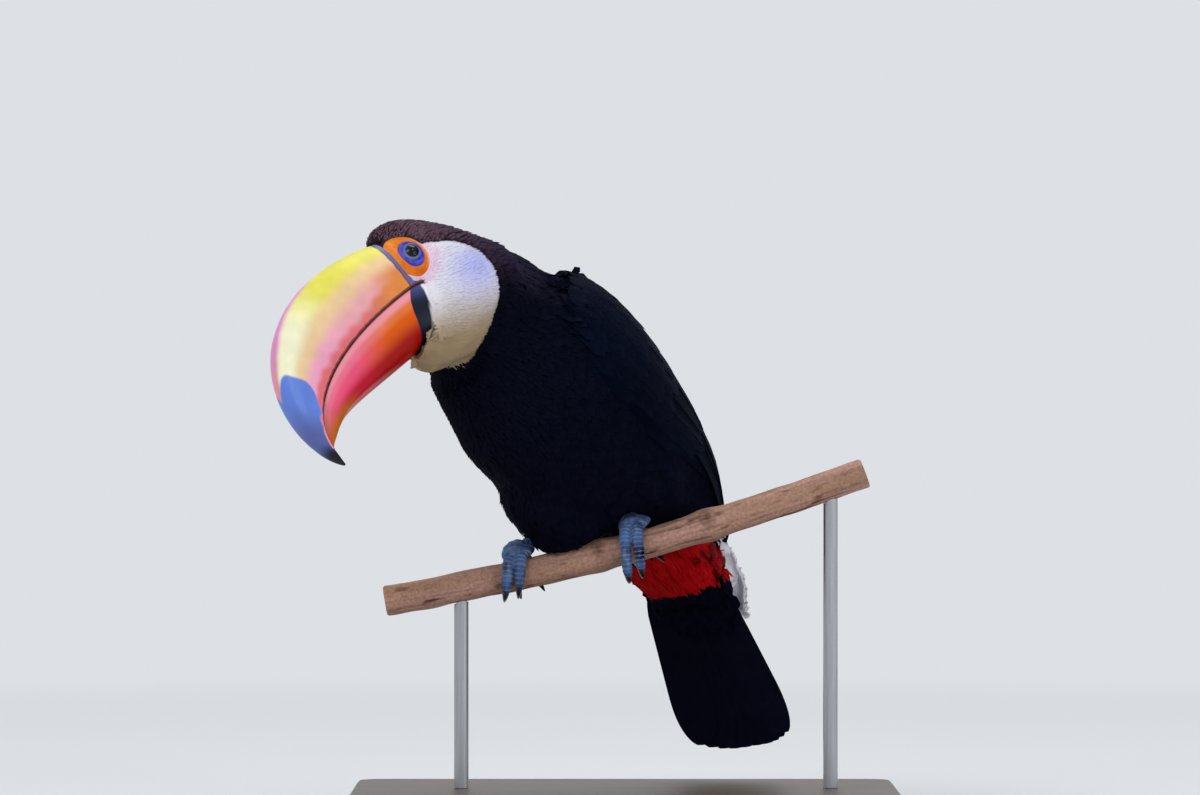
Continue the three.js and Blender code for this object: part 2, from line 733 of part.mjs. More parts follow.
const faceCutters = [upperBill(GAP), lowerBill(GAP), eyeball(1, GAP), eyeball(-1, GAP)];
const legCutters = SIDES.flatMap(({ name }) => [
  thigh(FEET[name], GAP),
  ...TOES.flatMap((toe) => [toeSolid(FEET[name], toe, GAP), clawSolid(FEET[name], toe, GAP)]),
]);
const wholeBody = bodySolid(0).add(headSolid(0)).add(throatSolid());
const flesh = cutAway(wholeBody, [...faceCutters, perchCutter, ...legCutters]);
const headCut = bodyFrame(CUTS.head);
const neckCut = bodyFrame(CUTS.neck);
const belowHead = beyond(flesh, headCut.middle, headCut.forward.clone().negate());
placeSolid("head", beyond(flesh, headCut.middle, headCut.forward), MATERIALS.whiteFeather);
placeSolid("neck", beyond(belowHead, neckCut.middle, neckCut.forward), MATERIALS.crownFeather);
const belowNeck = beyond(belowHead, neckCut.middle, neckCut.forward.clone().negate());
placeSolid("trunk", belowNeck, MATERIALS.blackFeather);

const bodyCutter = bodySolid(GAP);
for (const { name, sign } of SIDES) {
  placeSolid("wing_" + name, wing(sign, 0).subtract(bodyCutter), MATERIALS.blackFeather);
}

const tailCutters = [bodyCutter, perchCutter];
placeSolid("tail", cutAway(tailSolid(0), tailCutters), MATERIALS.blackFeather);
const underCutters = [...tailCutters, tailSolid(GAP), wing(1, GAP), wing(-1, GAP)];
placeSolid("undertail_coverts", cutAway(coverts(UNDER_COVERTS, 0), underCutters), MATERIALS.redFeather);
const upperCutters = [...underCutters, coverts(UNDER_COVERTS, GAP)];
placeSolid("uppertail_coverts", cutAway(coverts(UPPER_COVERTS, 0), upperCutters), MATERIALS.whiteFeather);

for (const { name } of SIDES) {
  const foot = FEET[name];
  placeSolid("thigh_" + name, thigh(foot, 0).subtract(perchCutter), MATERIALS.blackFeather);
  const bare = cutAway(leg(foot, 0), [thigh(foot, GAP), perchCutter, bodyCutter]);
  placeSolid("leg_" + name, bare, MATERIALS.foot);
  for (const toe of TOES) {
    const label = name + "_" + toe.number;
    placeSolid("toe_" + label, cutAway(toeSolid(foot, toe, 0), [leg(foot, GAP)]), MATERIALS.foot);
    placeSolid("claw_" + label, cutAway(clawSolid(foot, toe, 0), [toeSolid(foot, toe, GAP)]), MATERIALS.claw);
  }
}

export default model;
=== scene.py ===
"""A still toco toucan on a cut perch: one skin, mesh feathers, bill, eyes, feet, bark and a studio.

Lengths are millimetres in the frame of the CAD model until a mesh is made.
"""
import math

import bpy
import numpy as np
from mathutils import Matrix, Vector
from mathutils.bvhtree import BVHTree
from mathutils.kdtree import KDTree


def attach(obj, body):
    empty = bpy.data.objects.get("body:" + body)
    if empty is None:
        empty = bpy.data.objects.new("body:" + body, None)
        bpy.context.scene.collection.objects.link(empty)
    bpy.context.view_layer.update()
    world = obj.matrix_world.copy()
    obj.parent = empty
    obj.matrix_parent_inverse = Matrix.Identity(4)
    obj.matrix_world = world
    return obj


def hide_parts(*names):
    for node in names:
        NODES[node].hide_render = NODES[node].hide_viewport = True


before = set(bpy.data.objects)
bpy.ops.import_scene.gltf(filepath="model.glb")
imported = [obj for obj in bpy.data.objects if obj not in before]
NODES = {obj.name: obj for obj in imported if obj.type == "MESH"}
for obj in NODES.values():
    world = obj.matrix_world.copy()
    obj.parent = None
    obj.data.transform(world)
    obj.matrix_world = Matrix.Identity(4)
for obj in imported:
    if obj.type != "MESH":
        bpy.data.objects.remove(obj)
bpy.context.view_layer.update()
MM = 0.001
random = np.random.default_rng(20)

# --- driving sizes

# The head's frame starts at the root of the culmen, the ridge of the bill.
HEAD_AT = np.array([-138.8, -58.0, 306.4])
HEAD_TURN = {"heading": 29.1, "pitch": -11.4, "roll": 36.3}
BODY_LEFT = np.array([0.672, -0.733, 0.106])
# The line through the middle of the body, from the tail root to the back of the head.
BODY_LINE = [
    (38, 55, 117), (26, 46, 142), (5, 36, 175), (-24, 10, 207),
    (-45, -13, 235), (-67, -26, 256.5), (-81, -36, 274), (-94, -46, 287),
]
HEAD_LINE = [(-18, 0, -34), (4, 0, -35)]  # and on through the head, in its own frame

BILL = {
    "culmen": 183.9, "start": -8.3, "end": -132.8, "tighten": 1.39, "steps": 16,
    "gape": (-6.1, -37.5), "chin": (0.0, -65.8),
    "gape_slope": -20.5, "chin_slope": -26.5, "edge_reach": 0.34, "keel_reach": 0.62,
    "edge_hook": (25.0, 37.7), "keel_hook": (-18.0, 29.3),
    "wide_at_base": 18.5, "wide_at_tip": 14.9, "taper": 2.39, "tip_depth": 0.8, "square": 2.7,
    "band": 4.0, "lower_bow": 4.5, "lower_reach": 0.93, "lower_wide": 0.97, "lower_taper": 5.0,
    "pull": 0.6,
}
EYE = {"at": (-13.4, 13.4, -16.5), "radius": 6.2, "open": 4.15, "look": (0.11, 0.987, -0.11)}
# Bare skin round the eye, as ellipses in the side view of the head: middle and half sizes.
LID_RING = {"at": (-11.6, -18.6), "half": (5.5, 9.0), "lean": -6.0}
EYE_SKIN = {"at": (-8.6, -19.0), "half": (10.3, 14.8), "lean": -8.0}
# The white of the face and throat, a circle in the same view that runs on forwards over the chin.
BIB = {
    "at": (-14.0, -47.0), "radius": 32.6, "bottom": -81.5, "wide": 35.0, "from": 0.74,
    "throat_top": -24, "wobble": 0.2, "blur": 0.3,
}
# The bare skin between the eye and the bill, and where it starts to each side.
FRONT_SKIN = {"back": -9, "bottom": -31, "top": -4.8, "side": 8}
# Where the head's colours run into each other: forwards or upwards, in its own frame.
FADES = {
    "crown_back": (-92, -50), "crown_low": (-60, -35), "nape": (-55, -12), "cream": (-40, -74),
    "blush": (1.0, 1.55), "tips": (-0.3, 2.2),
}
# A patch on the white cheek: partly its own lilac tinge, partly a painted blue cast of shade.
LILAC_AND_SHADE_PATCH = {"at": (-36, -40), "size": 14, "share": 0.95}
BLUSH_SHARE = 0.75
# The dark crescent at the root of the lower bill: its foot and height, and its front and rear.
CRESCENT = {"foot": -66, "tall": 29, "front": 1.9, "lean": -4.1, "bulge": 3.2, "wide": (3.0, 10.6)}
# How deep the skin lies under the tips of the feathers, on the face and further back.
DEPTH = {"face": 1.2, "body": 2.6, "bare": 2.4, "tail": 0.8, "perch": 0.7, "less_on_chin": 0.7}

PERCH = {"half": 132.0, "height": 143.4, "slope": 0.268, "bend": 0.0004, "radius": 8.4}
KNOTS = [(46.0, 1.1, 7.0), (-14.0, 0.9, 6.0)]  # place along the perch, size, spread
ALONG_PERCH = np.array([1.0, 0, 0.27])

FEET = {
    "left": {
        "x": 6.5, "curl": 1.12, "slant": 1.0, "loose": 6.0,
        "ankle": (28, 13, 170), "hip": (2, -8, 196),
    },
    "right": {
        "x": -57.5, "curl": 1.0, "slant": 0.0, "loose": 0.0,
        "ankle": (-29, 13, 149), "hip": (-49, -14, 194),
    },
}
LEG = {"root": 0.8, "radius": 3.6, "ball": 6.0, "ball_at": 0.8}
TOE = {"radius": 3.1, "tip": 2.4, "start": 24.0, "off": 0.7, "scute": 2.3, "sides": 40}
CLAW = {"radius": 2.0, "point": 0.3, "length": 11.0, "hook": 5.0, "sides": 24}
# side of the perch, offset along it, degrees round it, slant
TOES = [(-1, 3.4, 106, 4), (1, 3.6, 118, -6), (1, -3.4, 126, -5.5), (-1, -3.4, 122, 1)]

WING = {"shoulder": 0.78, "tip": 0.05, "lowest": 84, "turn": 0.33, "front_rise": 45, "tip_rise": 72,
        "top": 158, "top_rise": 14}
TAIL = {"tip": (71.5, 81, 30.5), "down": (0.355, 0.306, -0.883), "left": (0.833, -0.532, 0.151),
        "length": 108.0, "half": 39.0}

# --- small maths


def unit(v):
    return v / np.maximum(np.linalg.norm(v, axis=-1, keepdims=True), 1e-12)


def mix(a, b, t):
    return a + (b - a) * t


def dyed(colours, other, share):
    """Colours with another laid over them by a share at each place."""
    return mix(colours, other, np.asarray(share)[..., None])


def step(low, high, x):
    t = np.clip((x - low) / (high - low), 0, 1)
    return t * t * (3 - 2 * t)


def circle(count):
    """Even angles round a full turn."""
    return np.linspace(0, 2 * math.pi, count, endpoint=False)


def lengths_along(path):
    """The length of a path from its start to each of its points."""
    return np.concatenate([[0], np.cumsum(np.linalg.norm(np.diff(path, axis=0), axis=1))])


def linear(red, green, blue):
    """An sRGB colour of 0 to 255 as linear values."""
    c = np.array([red, green, blue]) / 255
    return np.where(c > 0.04045, ((c + 0.055) / 1.055) ** 2.4, c / 12.92)


def ripple(points, size, seed, waves=7):
    """A smooth noise of about -1 to 1 that changes over the given size."""
    turns = np.random.default_rng(seed)
    ways = turns.normal(size=(waves, points.shape[-1])) / size
    phases = turns.uniform(0, 2 * math.pi, waves)
    return np.cos(points @ ways.T + phases).sum(-1) / math.sqrt(waves / 2) / 1.6


def spline(knots, count):
    """Points at even parameters of a smooth line through the knots."""
    knots = np.asarray(knots, float)
    padded = np.vstack([2 * knots[0] - knots[1], knots, 2 * knots[-1] - knots[-2]])
    place = np.linspace(0, len(knots) - 1, count)
    i = np.minimum(place.astype(int), len(knots) - 2)
    t = (place - i)[:, None]
    a, b, c, d = padded[i], padded[i + 1], padded[i + 2], padded[i + 3]
    return 0.5 * (2 * b + (c - a) * t + (2 * a - 5 * b + 4 * c - d) * t**2 + (3 * b - a - 3 * c + d) * t**3)


def head_axes():
    h, p, r = (math.radians(HEAD_TURN[k]) for k in ("heading", "pitch", "roll"))
    forward = np.array([-math.cos(h) * math.cos(p), -math.sin(h) * math.cos(p), math.sin(p)])
    level = np.array([math.sin(h), -math.cos(h), 0])
    left = level * math.cos(r) + np.cross(forward, level) * math.sin(r)
    return np.array([forward, left, np.cross(forward, left)])


HEAD_AXES = head_axes()


def from_head(places):
    return HEAD_AT + np.asarray(places, float) @ HEAD_AXES


def to_head(points):
    return (points - HEAD_AT) @ HEAD_AXES.T


# --- the spine and its frames

SPINE_STEPS = 400
SPINE = spline(np.vstack([BODY_LINE, from_head(HEAD_LINE)]), SPINE_STEPS)
SPINE_FORWARD = unit(np.gradient(SPINE, axis=0))
HEAD_SHARE = step(0.68, 0.85, np.linspace(0, 1, SPINE_STEPS))[:, None]
SPINE_LEFT = mix(unit(BODY_LEFT), HEAD_AXES[1], HEAD_SHARE)
SPINE_LEFT = unit(SPINE_LEFT - SPINE_FORWARD * (SPINE_LEFT * SPINE_FORWARD).sum(1, keepdims=True))
SPINE_BACK = np.cross(SPINE_FORWARD, SPINE_LEFT)
BODY_SHARE = (len(BODY_LINE) - 1) / (len(BODY_LINE) + len(HEAD_LINE) - 1)


def along_spine(points):
    """For each point the index of the nearest place on the spine."""
    nearest = np.zeros(len(points), int)
    for start in range(0, len(points), 20000):
        part = points[start : start + 20000]
        gap = (SPINE**2).sum(1) - 2 * part @ SPINE.T
        nearest[start : start + 20000] = gap.argmin(1)
    return nearest


def unwrap(points):
    """Where points of the skin lie on its unwrap: round the spine, and along it."""
    i = along_spine(points)
    out = points - SPINE[i]
    angle = np.arctan2((out * SPINE_LEFT[i]).sum(1), (out * SPINE_BACK[i]).sum(1))
    return np.stack([0.5 + angle / (2 * math.pi) * 0.98, 0.01 + 0.98 * i / (SPINE_STEPS - 1)], 1)


def spine_at(share):
    """Middle, forward, left and back of the spine at shares of the body's length, tail root first."""
    i = np.clip(np.asarray(share) * BODY_SHARE * (SPINE_STEPS - 1), 0, SPINE_STEPS - 1)
    low = i.astype(int)
    high = np.minimum(low + 1, SPINE_STEPS - 1)
    t = (i - low)[..., None]
    return [mix(a[low], a[high], t) for a in (SPINE, SPINE_FORWARD, SPINE_LEFT, SPINE_BACK)]


# --- meshes


def grid_faces(rows, columns, closed):
    """Quads of a grid of points, with its columns closed into rings or left open."""
    r = np.arange(rows - 1)[:, None]
    c = np.arange(columns if closed else columns - 1)[None, :]
    ahead = (c + 1) % columns
    quads = [r * columns + c, r * columns + ahead, (r + 1) * columns + ahead, (r + 1) * columns + c]
    return np.stack(np.broadcast_arrays(*quads), -1).reshape(-1, 4)


def triangles_of(quads):
    return np.concatenate([quads[:, [0, 1, 2]], quads[:, [0, 2, 3]]])


def loft(rings):
    """Points and triangles of a closed solid over rings, with a fan at each end."""
    rows, columns = rings.shape[:2]
    points = np.vstack([rings.reshape(-1, 3), rings[0].mean(0), rings[-1].mean(0)])
    faces = triangles_of(grid_faces(rows, columns, True))
    k = np.arange(columns)
    ahead = (k + 1) % columns
    first = np.stack([ahead, k, np.full(columns, rows * columns)], 1)
    last = np.stack([k, ahead, np.full(columns, rows * columns + 1)], 1)
    last[:, :2] += (rows - 1) * columns
    faces = np.vstack([faces, first, last])
    volume = (np.cross(points[faces[:, 0]], points[faces[:, 1]]) * points[faces[:, 2]]).sum()
    return points, faces if volume > 0 else faces[:, ::-1]


def tube(path, radii, across, sides):
    """Rings round a path, each with its own radius."""
    ahead = unit(np.gradient(path, axis=0))
    u = unit(across - ahead * (ahead @ across)[:, None])
    v = np.cross(ahead, u)
    turn = circle(sides)
    radii = np.broadcast_to(np.asarray(radii, float).reshape(len(path), -1), (len(path), sides))[..., None]
    return path[:, None] + radii * (u[:, None] * np.cos(turn)[:, None] + v[:, None] * np.sin(turn)[:, None])


def joined(solids):
    """Several solids, each a pair of points and faces, as one."""
    points, faces, count = [], [], 0
    for p, f in solids:
        points.append(p)
        faces.append(f + count)
        count += len(p)
    return np.vstack(points), np.vstack(faces)


def make_object(name, points, faces, material, tint=None, sharp=None):
    """A mesh object of the root body. Faces are an array of triangles or quads."""
    mesh = bpy.data.meshes.new(name)
    mesh.vertices.add(len(points))
    mesh.vertices.foreach_set("co", (points * MM).astype(np.float32).ravel())
    corners = faces.shape[1]
    mesh.loops.add(faces.size)
    mesh.loops.foreach_set("vertex_index", faces.astype(np.int32).ravel())
    mesh.polygons.add(len(faces))
    mesh.polygons.foreach_set("loop_start", np.arange(0, faces.size, corners, dtype=np.int32))
    mesh.update(calc_edges=True)
    mesh.polygons.foreach_set("use_smooth", np.ones(len(faces), bool))
    if sharp:
        mesh.set_sharp_from_angle(angle=math.radians(sharp))
    if tint is not None:
        paint(mesh, "tint", tint)
    mesh.materials.append(material)
    made = bpy.data.objects.new(name, mesh)
    bpy.context.scene.collection.objects.link(made)
    return made


def paint(mesh, name, colours):
    layer = mesh.color_attributes.new(name, "FLOAT_COLOR", "POINT")
    rgba = np.ones((len(colours), 4), np.float32)
    rgba[:, :3] = colours
    layer.data.foreach_set("color", rgba.ravel())


def add_bake_map(mesh, uv):
    """The map that colours are baked on, from one place per corner."""
    layer = mesh.uv_layers.new(name="OFBake")
    layer.data.foreach_set("uv", uv.astype(np.float32).ravel())


def arrays_of(mesh):
    """Points in millimetres and triangles of a mesh."""
    points = np.zeros(len(mesh.vertices) * 3, np.float32)
    mesh.vertices.foreach_get("co", points)
    mesh.calc_loop_triangles()
    faces = np.zeros(len(mesh.loop_triangles) * 3, np.int32)
    mesh.loop_triangles.foreach_get("vertices", faces)
    return points.reshape(-1, 3).astype(float) / MM, faces.reshape(-1, 3)


def welded(points, faces):
    """The same shape with the points that share a place made one."""
    _, first, same = np.unique(np.round(points, 3), axis=0, return_index=True, return_inverse=True)
    faces = same.reshape(-1)[faces]
    whole = (faces[:, 0] != faces[:, 1]) & (faces[:, 1] != faces[:, 2]) & (faces[:, 0] != faces[:, 2])
    return points[first], faces[whole]


def cad_solid(*names):
    return joined([welded(*arrays_of(NODES[name].data)) for name in names])


def normals_of(points, faces):
    a, b, c = (points[faces[:, k]] for k in range(3))
    side = np.cross(b - a, c - a)
    total = np.zeros_like(points)
    for k in range(3):
        for axis in range(3):
            total[:, axis] += np.bincount(faces[:, k], side[:, axis], len(points))
    return unit(total)


def smoothed(points, faces, rounds):
    """Taubin smoothing: each round draws points to their neighbours and then swells them back."""
    edges = np.vstack([faces[:, [0, 1]], faces[:, [1, 2]], faces[:, [2, 0]]])
    degree = np.bincount(edges[:, 0], minlength=len(points))[:, None]
    for _ in range(rounds):
        for pull in (0.6, -0.61):
            sums = [np.bincount(edges[:, 0], points[edges[:, 1], k], len(points)) for k in range(3)]
            points = points + pull * (np.stack(sums, 1) / np.maximum(degree, 1) - points)
    return points


def remeshed(points, faces, voxel):
    """One closed surface round a set of solids that may overlap."""
    source = make_object("remesh_source", points, faces, None)
    modifier = source.modifiers.new("voxels", "REMESH")
    modifier.mode = "VOXEL"
    modifier.voxel_size = voxel * MM
    graph = bpy.context.evaluated_depsgraph_get()
    result = source.evaluated_get(graph)
    made = arrays_of(result.to_mesh())
    result.to_mesh_clear()
    bpy.data.objects.remove(source)
    return made


class Surface:
    """A surface that points are dropped on and rays are sent to."""

    def __init__(self, points, faces):
        self.points = points
        self.faces = faces
        self.normals = normals_of(points, faces)
        self.tree = BVHTree.FromPolygons(points.tolist(), faces.tolist())

    def drop(self, points):
        """The nearest place on the surface to each point, and the way out there."""
        hits = [self.tree.find_nearest(p) for p in points.tolist()]
        places = np.array([tuple(h[0]) for h in hits])
        found = np.array([h[2] for h in hits])
        return places, unit(self.normals[self.faces[found]].sum(1))

    def cast(self, origins, ways, reach):
        """How far each ray runs to the surface, or infinity."""
        pairs = zip(origins.tolist(), ways.tolist())
        hits = [self.tree.ray_cast(Vector(o), Vector(w), reach)[3] for o, w in pairs]
        return np.array([math.inf if h is None else h for h in hits])

    def scatter(self, count):
        """Random places, evenly spread by area."""
        a, b, c = (self.points[self.faces[:, k]] for k in range(3))
        area = np.linalg.norm(np.cross(b - a, c - a), axis=1)
        chosen = random.choice(len(area), count, p=area / area.sum())
        u, v = random.uniform(size=(2, count, 1))
        over = u + v > 1
        u, v = np.where(over, 1 - u, u), np.where(over, 1 - v, v)
        return a[chosen] + u * (b - a)[chosen] + v * (c - a)[chosen]


def thinned(points, spacing):
    """The indices of points kept so that none is nearer another than the spacing at its place."""
    tree = KDTree(len(points))
    for i, p in enumerate(points.tolist()):
        tree.insert(p, i)
    tree.balance()
    alive = np.ones(len(points), bool)
    kept = []
    for i, p in enumerate(points.tolist()):
        if not alive[i]:
            continue
        kept.append(i)
        for _, other, _ in tree.find_range(p, spacing[i]):
            alive[other] = False
    return np.array(kept)


# --- materials


BARB = {"slant": -1.4, "apart": 0.7, "depth": 0.08}  # the lines of barbs on each side of a feather's shaft


def material(name, roughness=0.5, **settings):
    """A Principled material and its node tree, with plain values on the shader's own sockets."""
    made = bpy.data.materials.new(name)
    made.use_nodes = True
    shader = made.node_tree.nodes["Principled BSDF"]
    shader.inputs["Roughness"].default_value = roughness
    for socket, value in settings.items():
        shader.inputs[socket.replace("_", " ")].default_value = value
    return made


def feed(tree, socket, value):
    """Gives an input a value, or links it to another node's output."""
    if isinstance(value, bpy.types.NodeSocket):
        tree.links.new(value, socket)
    else:
        socket.default_value = value


def node(tree, kind, *inputs, **values):
    """A shader node, with its first inputs in order and its settings and other inputs by name."""
    made = tree.nodes.new("ShaderNode" + kind)
    for key, value in values.items():
        if hasattr(made, key):
            setattr(made, key, value)
        else:
            feed(tree, made.inputs[key.replace("_", " ")], value)
    for socket, value in zip(made.inputs, inputs):
        feed(tree, socket, value)
    return made


def maths(tree, operation, *inputs):
    return node(tree, "Math", *inputs, operation=operation).outputs[0]


def set_shader(made, socket, value):
    feed(made.node_tree, made.node_tree.nodes["Principled BSDF"].inputs[socket], value)


def ramp(tree, factor, low, high, dark, light):
    """A grey that runs from dark to light while the factor runs from low to high."""
    ends = {"From_Min": low, "From_Max": high, "To_Min": dark, "To_Max": light}
    return node(tree, "MapRange", clamp=True, Value=factor, **ends).outputs["Result"]


def blended(tree, factor, first, second):
    """A colour that runs from the first to the second as the factor runs from 0 to 1."""
    made = node(tree, "Mix", data_type="RGBA", A=(*first, 1), B=(*second, 1), Factor=factor)
    return made.outputs["Result"]


def add_bump(made, height, strength, distance):
    """Fine relief under any that the material already has, its depth in millimetres."""
    tree = made.node_tree
    shader = tree.nodes["Principled BSDF"]
    bump = node(tree, "Bump", Strength=strength, Distance=distance * MM, Height=height)
    old = shader.inputs["Normal"].links
    if old:
        tree.links.new(old[0].from_socket, bump.inputs["Normal"])
    tree.links.new(bump.outputs["Normal"], shader.inputs["Normal"])


def noise_of(tree, size, detail=3.0, roughness=0.5, stretch=None):
    """A noise over the object, in millimetres."""
    place = node(tree, "TexCoord").outputs["Object"]
    if stretch:
        place = node(tree, "Mapping", Scale=stretch, Vector=place).outputs["Vector"]
    made = node(tree, "TexNoise", Scale=1 / (size * MM), Detail=detail, Roughness=roughness, Vector=place)
    return made.outputs["Fac"]


def tinted(made, spread, size, detail=3.0):
    """The painted colour of a mesh, made a little lighter and darker by a noise."""
    tree = made.node_tree
    shade = ramp(tree, noise_of(tree, size, detail), 0.25, 0.75, 1 - spread, 1 + spread)
    painted = node(tree, "Attribute", attribute_name="tint").outputs["Color"]
    scaled = node(tree, "VectorMath", painted, operation="SCALE", Scale=shade)
    set_shader(made, "Base Color", scaled.outputs["Vector"])
    return made


def feather_material(name, roughness, spread, barb_strength, shine=0.02):
    """Painted feathers with fine barbs that slant off the shaft."""
    made = tinted(material(name, roughness, Specular_IOR_Level=shine), spread, 6.0)
    tree = made.node_tree
    barb = node(tree, "Attribute", attribute_name="barb").outputs["Vector"]
    parts = node(tree, "SeparateXYZ", barb).outputs
    slant = maths(tree, "MULTIPLY_ADD", maths(tree, "ABSOLUTE", parts["X"]), BARB["slant"], parts["Y"])
    turns = maths(tree, "MULTIPLY", slant, 2 * math.pi / BARB["apart"])
    add_bump(made, maths(tree, "SINE", turns), barb_strength, BARB["depth"])
    return made


BLACK = linear(7, 9, 20)
BLACK_TIP = linear(12, 14, 30)
WING_BLACK = linear(4, 8, 21)
WING_TIP = linear(9, 15, 32)
CROWN = linear(44, 29, 35)
# The crown's tips, painted lighter as a sheen of light grazing the crown.
CROWN_SHEEN_TIP = linear(126, 96, 114)
NAPE_TIP = linear(44, 40, 66)
WHITE = linear(242, 240, 248)
# The throat's own cream tinge, darkened with painted shade for the bib's underside.
CREAM_AND_SHADE = linear(166, 144, 112)
LILAC_AND_SHADE_TINT = linear(186, 190, 246)
BLUSH = linear(246, 200, 224)
RED = linear(168, 8, 16)
RED_TIP = linear(206, 26, 26)
RED_SHADE = linear(112, 4, 12)
ORANGE = linear(234, 134, 10)
VIOLET = linear(62, 60, 186)
# The black band at the bill's root, painted slate-blue as a reflection of the sky.
BAND_WITH_SKY_REFLECTION = linear(104, 98, 146)
BAND_LINE = linear(40, 30, 48)
UPPER_EDGE = linear(84, 40, 30)
LOWER_EDGE = linear(96, 40, 34)
CRESCENT_DARK = linear(18, 22, 42)
# The crescent is the bill's black root band: dark, and painted blue towards its top as a reflection of the
# sky.
CRESCENT_SKY_REFLECTION = linear(70, 82, 140)

skin_material = tinted(material("skin", 0.5, Specular_IOR_Level=0.12), 0.12, 1.6)
skin_tree = skin_material.node_tree
skin_tint = node(skin_tree, "Attribute", attribute_name="tint").outputs["Color"]
skin_tone = node(skin_tree, "RGBToBW", skin_tint).outputs[0]
set_shader(skin_material, "Specular IOR Level", ramp(skin_tree, skin_tone, 0.01, 0.06, 0.01, 0.12))
add_bump(skin_material, noise_of(skin_tree, 0.9, 4.0, 0.6), 0.5, 0.25)
black_material = feather_material("black_feathers", 0.6, 0.25, 0.3, shine=0.006)
crown_material = feather_material("crown_feathers", 0.6, 0.2, 0.25, shine=0.01)
white_material = feather_material("white_feathers", 0.8, 0.03, 0.1)
red_material = feather_material("red_feathers", 0.65, 0.15, 0.25)
quill_material = feather_material("quills", 0.55, 0.2, 0.4, shine=0.009)

# --- markings


def ellipse_share(places, shape):
    """How far places of the head's side view lie from an ellipse's middle, 1 on its edge."""
    lean = math.radians(shape["lean"])
    out = places - np.array(shape["at"])
    x = out[..., 0] * math.cos(lean) + out[..., 1] * math.sin(lean)
    y = out[..., 1] * math.cos(lean) - out[..., 0] * math.sin(lean)
    return np.hypot(x / shape["half"][0], y / shape["half"][1])


def face_zones(points):
    """Shares of bare skin and of white at points of the head."""
    place = to_head(points)
    side = place[:, [0, 2]]
    bare = 1 - step(0.95, 1.0, ellipse_share(side, EYE_SKIN))
    front = (place[:, 0] > FRONT_SKIN["back"]) & (np.abs(place[:, 1]) > FRONT_SKIN["side"])
    front = front & (place[:, 2] > FRONT_SKIN["bottom"]) & (place[:, 2] < FRONT_SKIN["top"])
    bare = np.where(front, 1.0, bare)
    far = np.linalg.norm(side - np.array(BIB["at"]), axis=1)
    edge = BIB["radius"] + BIB["wobble"] * ripple(points, 3.0, 5)
    white = 1 - step(edge - BIB["blur"], edge + BIB["blur"], far)
    throat = (place[:, 0] > BIB["at"][0]) & (place[:, 2] < BIB["throat_top"])
    throat = throat & (place[:, 2] > BIB["bottom"])
    on_head = (np.abs(place[:, 1]) < BIB["wide"]) & (along_spine(points) > BIB["from"] * SPINE_STEPS)
    white = np.where(throat, 1.0, white) * on_head
    return bare, white


def bib_edge(points):
    """How far inside the edge of the white bib points are."""
    place = to_head(points)
    round_edge = BIB["radius"] - np.linalg.norm(place[:, [0, 2]] - np.array(BIB["at"]), axis=1)
    return np.where(place[:, 0] > BIB["at"][0], place[:, 2] - BIB["bottom"], round_edge)


def marking(points):
    """The colour of skin and coat at points on them, for the root and the tip of what grows there."""
    place = to_head(points)
    side = place[:, [0, 2]]
    white = (face_zones(points)[1] > 0.5) * 1.0
    crown = step(*FADES["crown_back"], place[:, 0]) * step(*FADES["crown_low"], place[:, 2])
    near_eye = 1 - step(*FADES["blush"], ellipse_share(side, EYE_SKIN))
    # lilac on the bib: partly the cheek's own tinge, partly a painted blue cast of shade
    lilac_and_shade = np.exp(-(np.linalg.norm(side - LILAC_AND_SHADE_PATCH["at"], axis=1) / LILAC_AND_SHADE_PATCH["size"]) ** 2)
    # The bib grows cream and darker towards its bottom: partly its own cream, partly painted shade on its
    # underside.
    pale = dyed(WHITE, CREAM_AND_SHADE, step(*FADES["cream"], place[:, 2]))
    pale = dyed(pale, BLUSH, BLUSH_SHARE * near_eye)
    pale = dyed(pale, LILAC_AND_SHADE_TINT, LILAC_AND_SHADE_PATCH["share"] * lilac_and_shade)
    # the crown's tips carry a painted sheen of light from above
    dark_tip = dyed(NAPE_TIP, CROWN_SHEEN_TIP, step(*FADES["nape"], place[:, 0]))
    dark_tip = dyed(BLACK_TIP, dark_tip, crown)
    root = dyed(dyed(BLACK, CROWN, crown), pale, white)
    soft_tip = dyed(mix(pale, dark_tip, 0.6), pale, step(*FADES["tips"], bib_edge(points)))
    tip = dyed(dark_tip, soft_tip, white)
    return root, tip


# --- the perch and the feet's routes


def perch_height(x):
    return PERCH["height"] + PERCH["slope"] * x + PERCH["bend"] * x * x


def perch_radius(x):
    return PERCH["radius"] + sum(size * np.exp(-(((x - at) / spread) ** 2)) for at, size, spread in KNOTS)


def perch_middle(x):
    """Points of the perch's axis."""
    return np.stack([x, np.zeros_like(x), perch_height(x)], -1)


def off_bark(points):
    """How far points are from the bark, seen along the perch."""
    x = points[:, 0]
    return np.hypot(points[:, 1], points[:, 2] - perch_height(x)) - perch_radius(x)


def beside_perch(x, angle, distance):
    """A point off the perch's axis, at an angle from its top that is positive towards -Y."""
    slope = PERCH["slope"] + 2 * PERCH["bend"] * x
    up = unit(np.stack([-slope, np.zeros_like(x), np.ones_like(x)], -1))
    point = perch_middle(x) + up * (distance * np.cos(angle))[..., None]
    point[..., 1] -= distance * np.sin(angle)
    return point


def toe_route(foot, toe, t):
    side, offset, reach, slant = toe
    angle = side * np.radians(mix(TOE["start"], reach * foot["curl"], t))
    x = foot["x"] + offset * mix(0.92, 1.15, t) + (foot["slant"] + slant) * t
    loose = foot["loose"] * t * t if side > 0 else 0
    return beside_perch(x, angle, perch_radius(x) + TOE["radius"] + TOE["off"] + loose)


def scutes(length, size, depth):
    """How far overlapping scales stand out along a length: each rises slowly and ends in a step."""
    phase = (length / size) % 1
    return depth * (phase**1.5 - 0.45) * (1 - step(0.9, 1.0, phase))


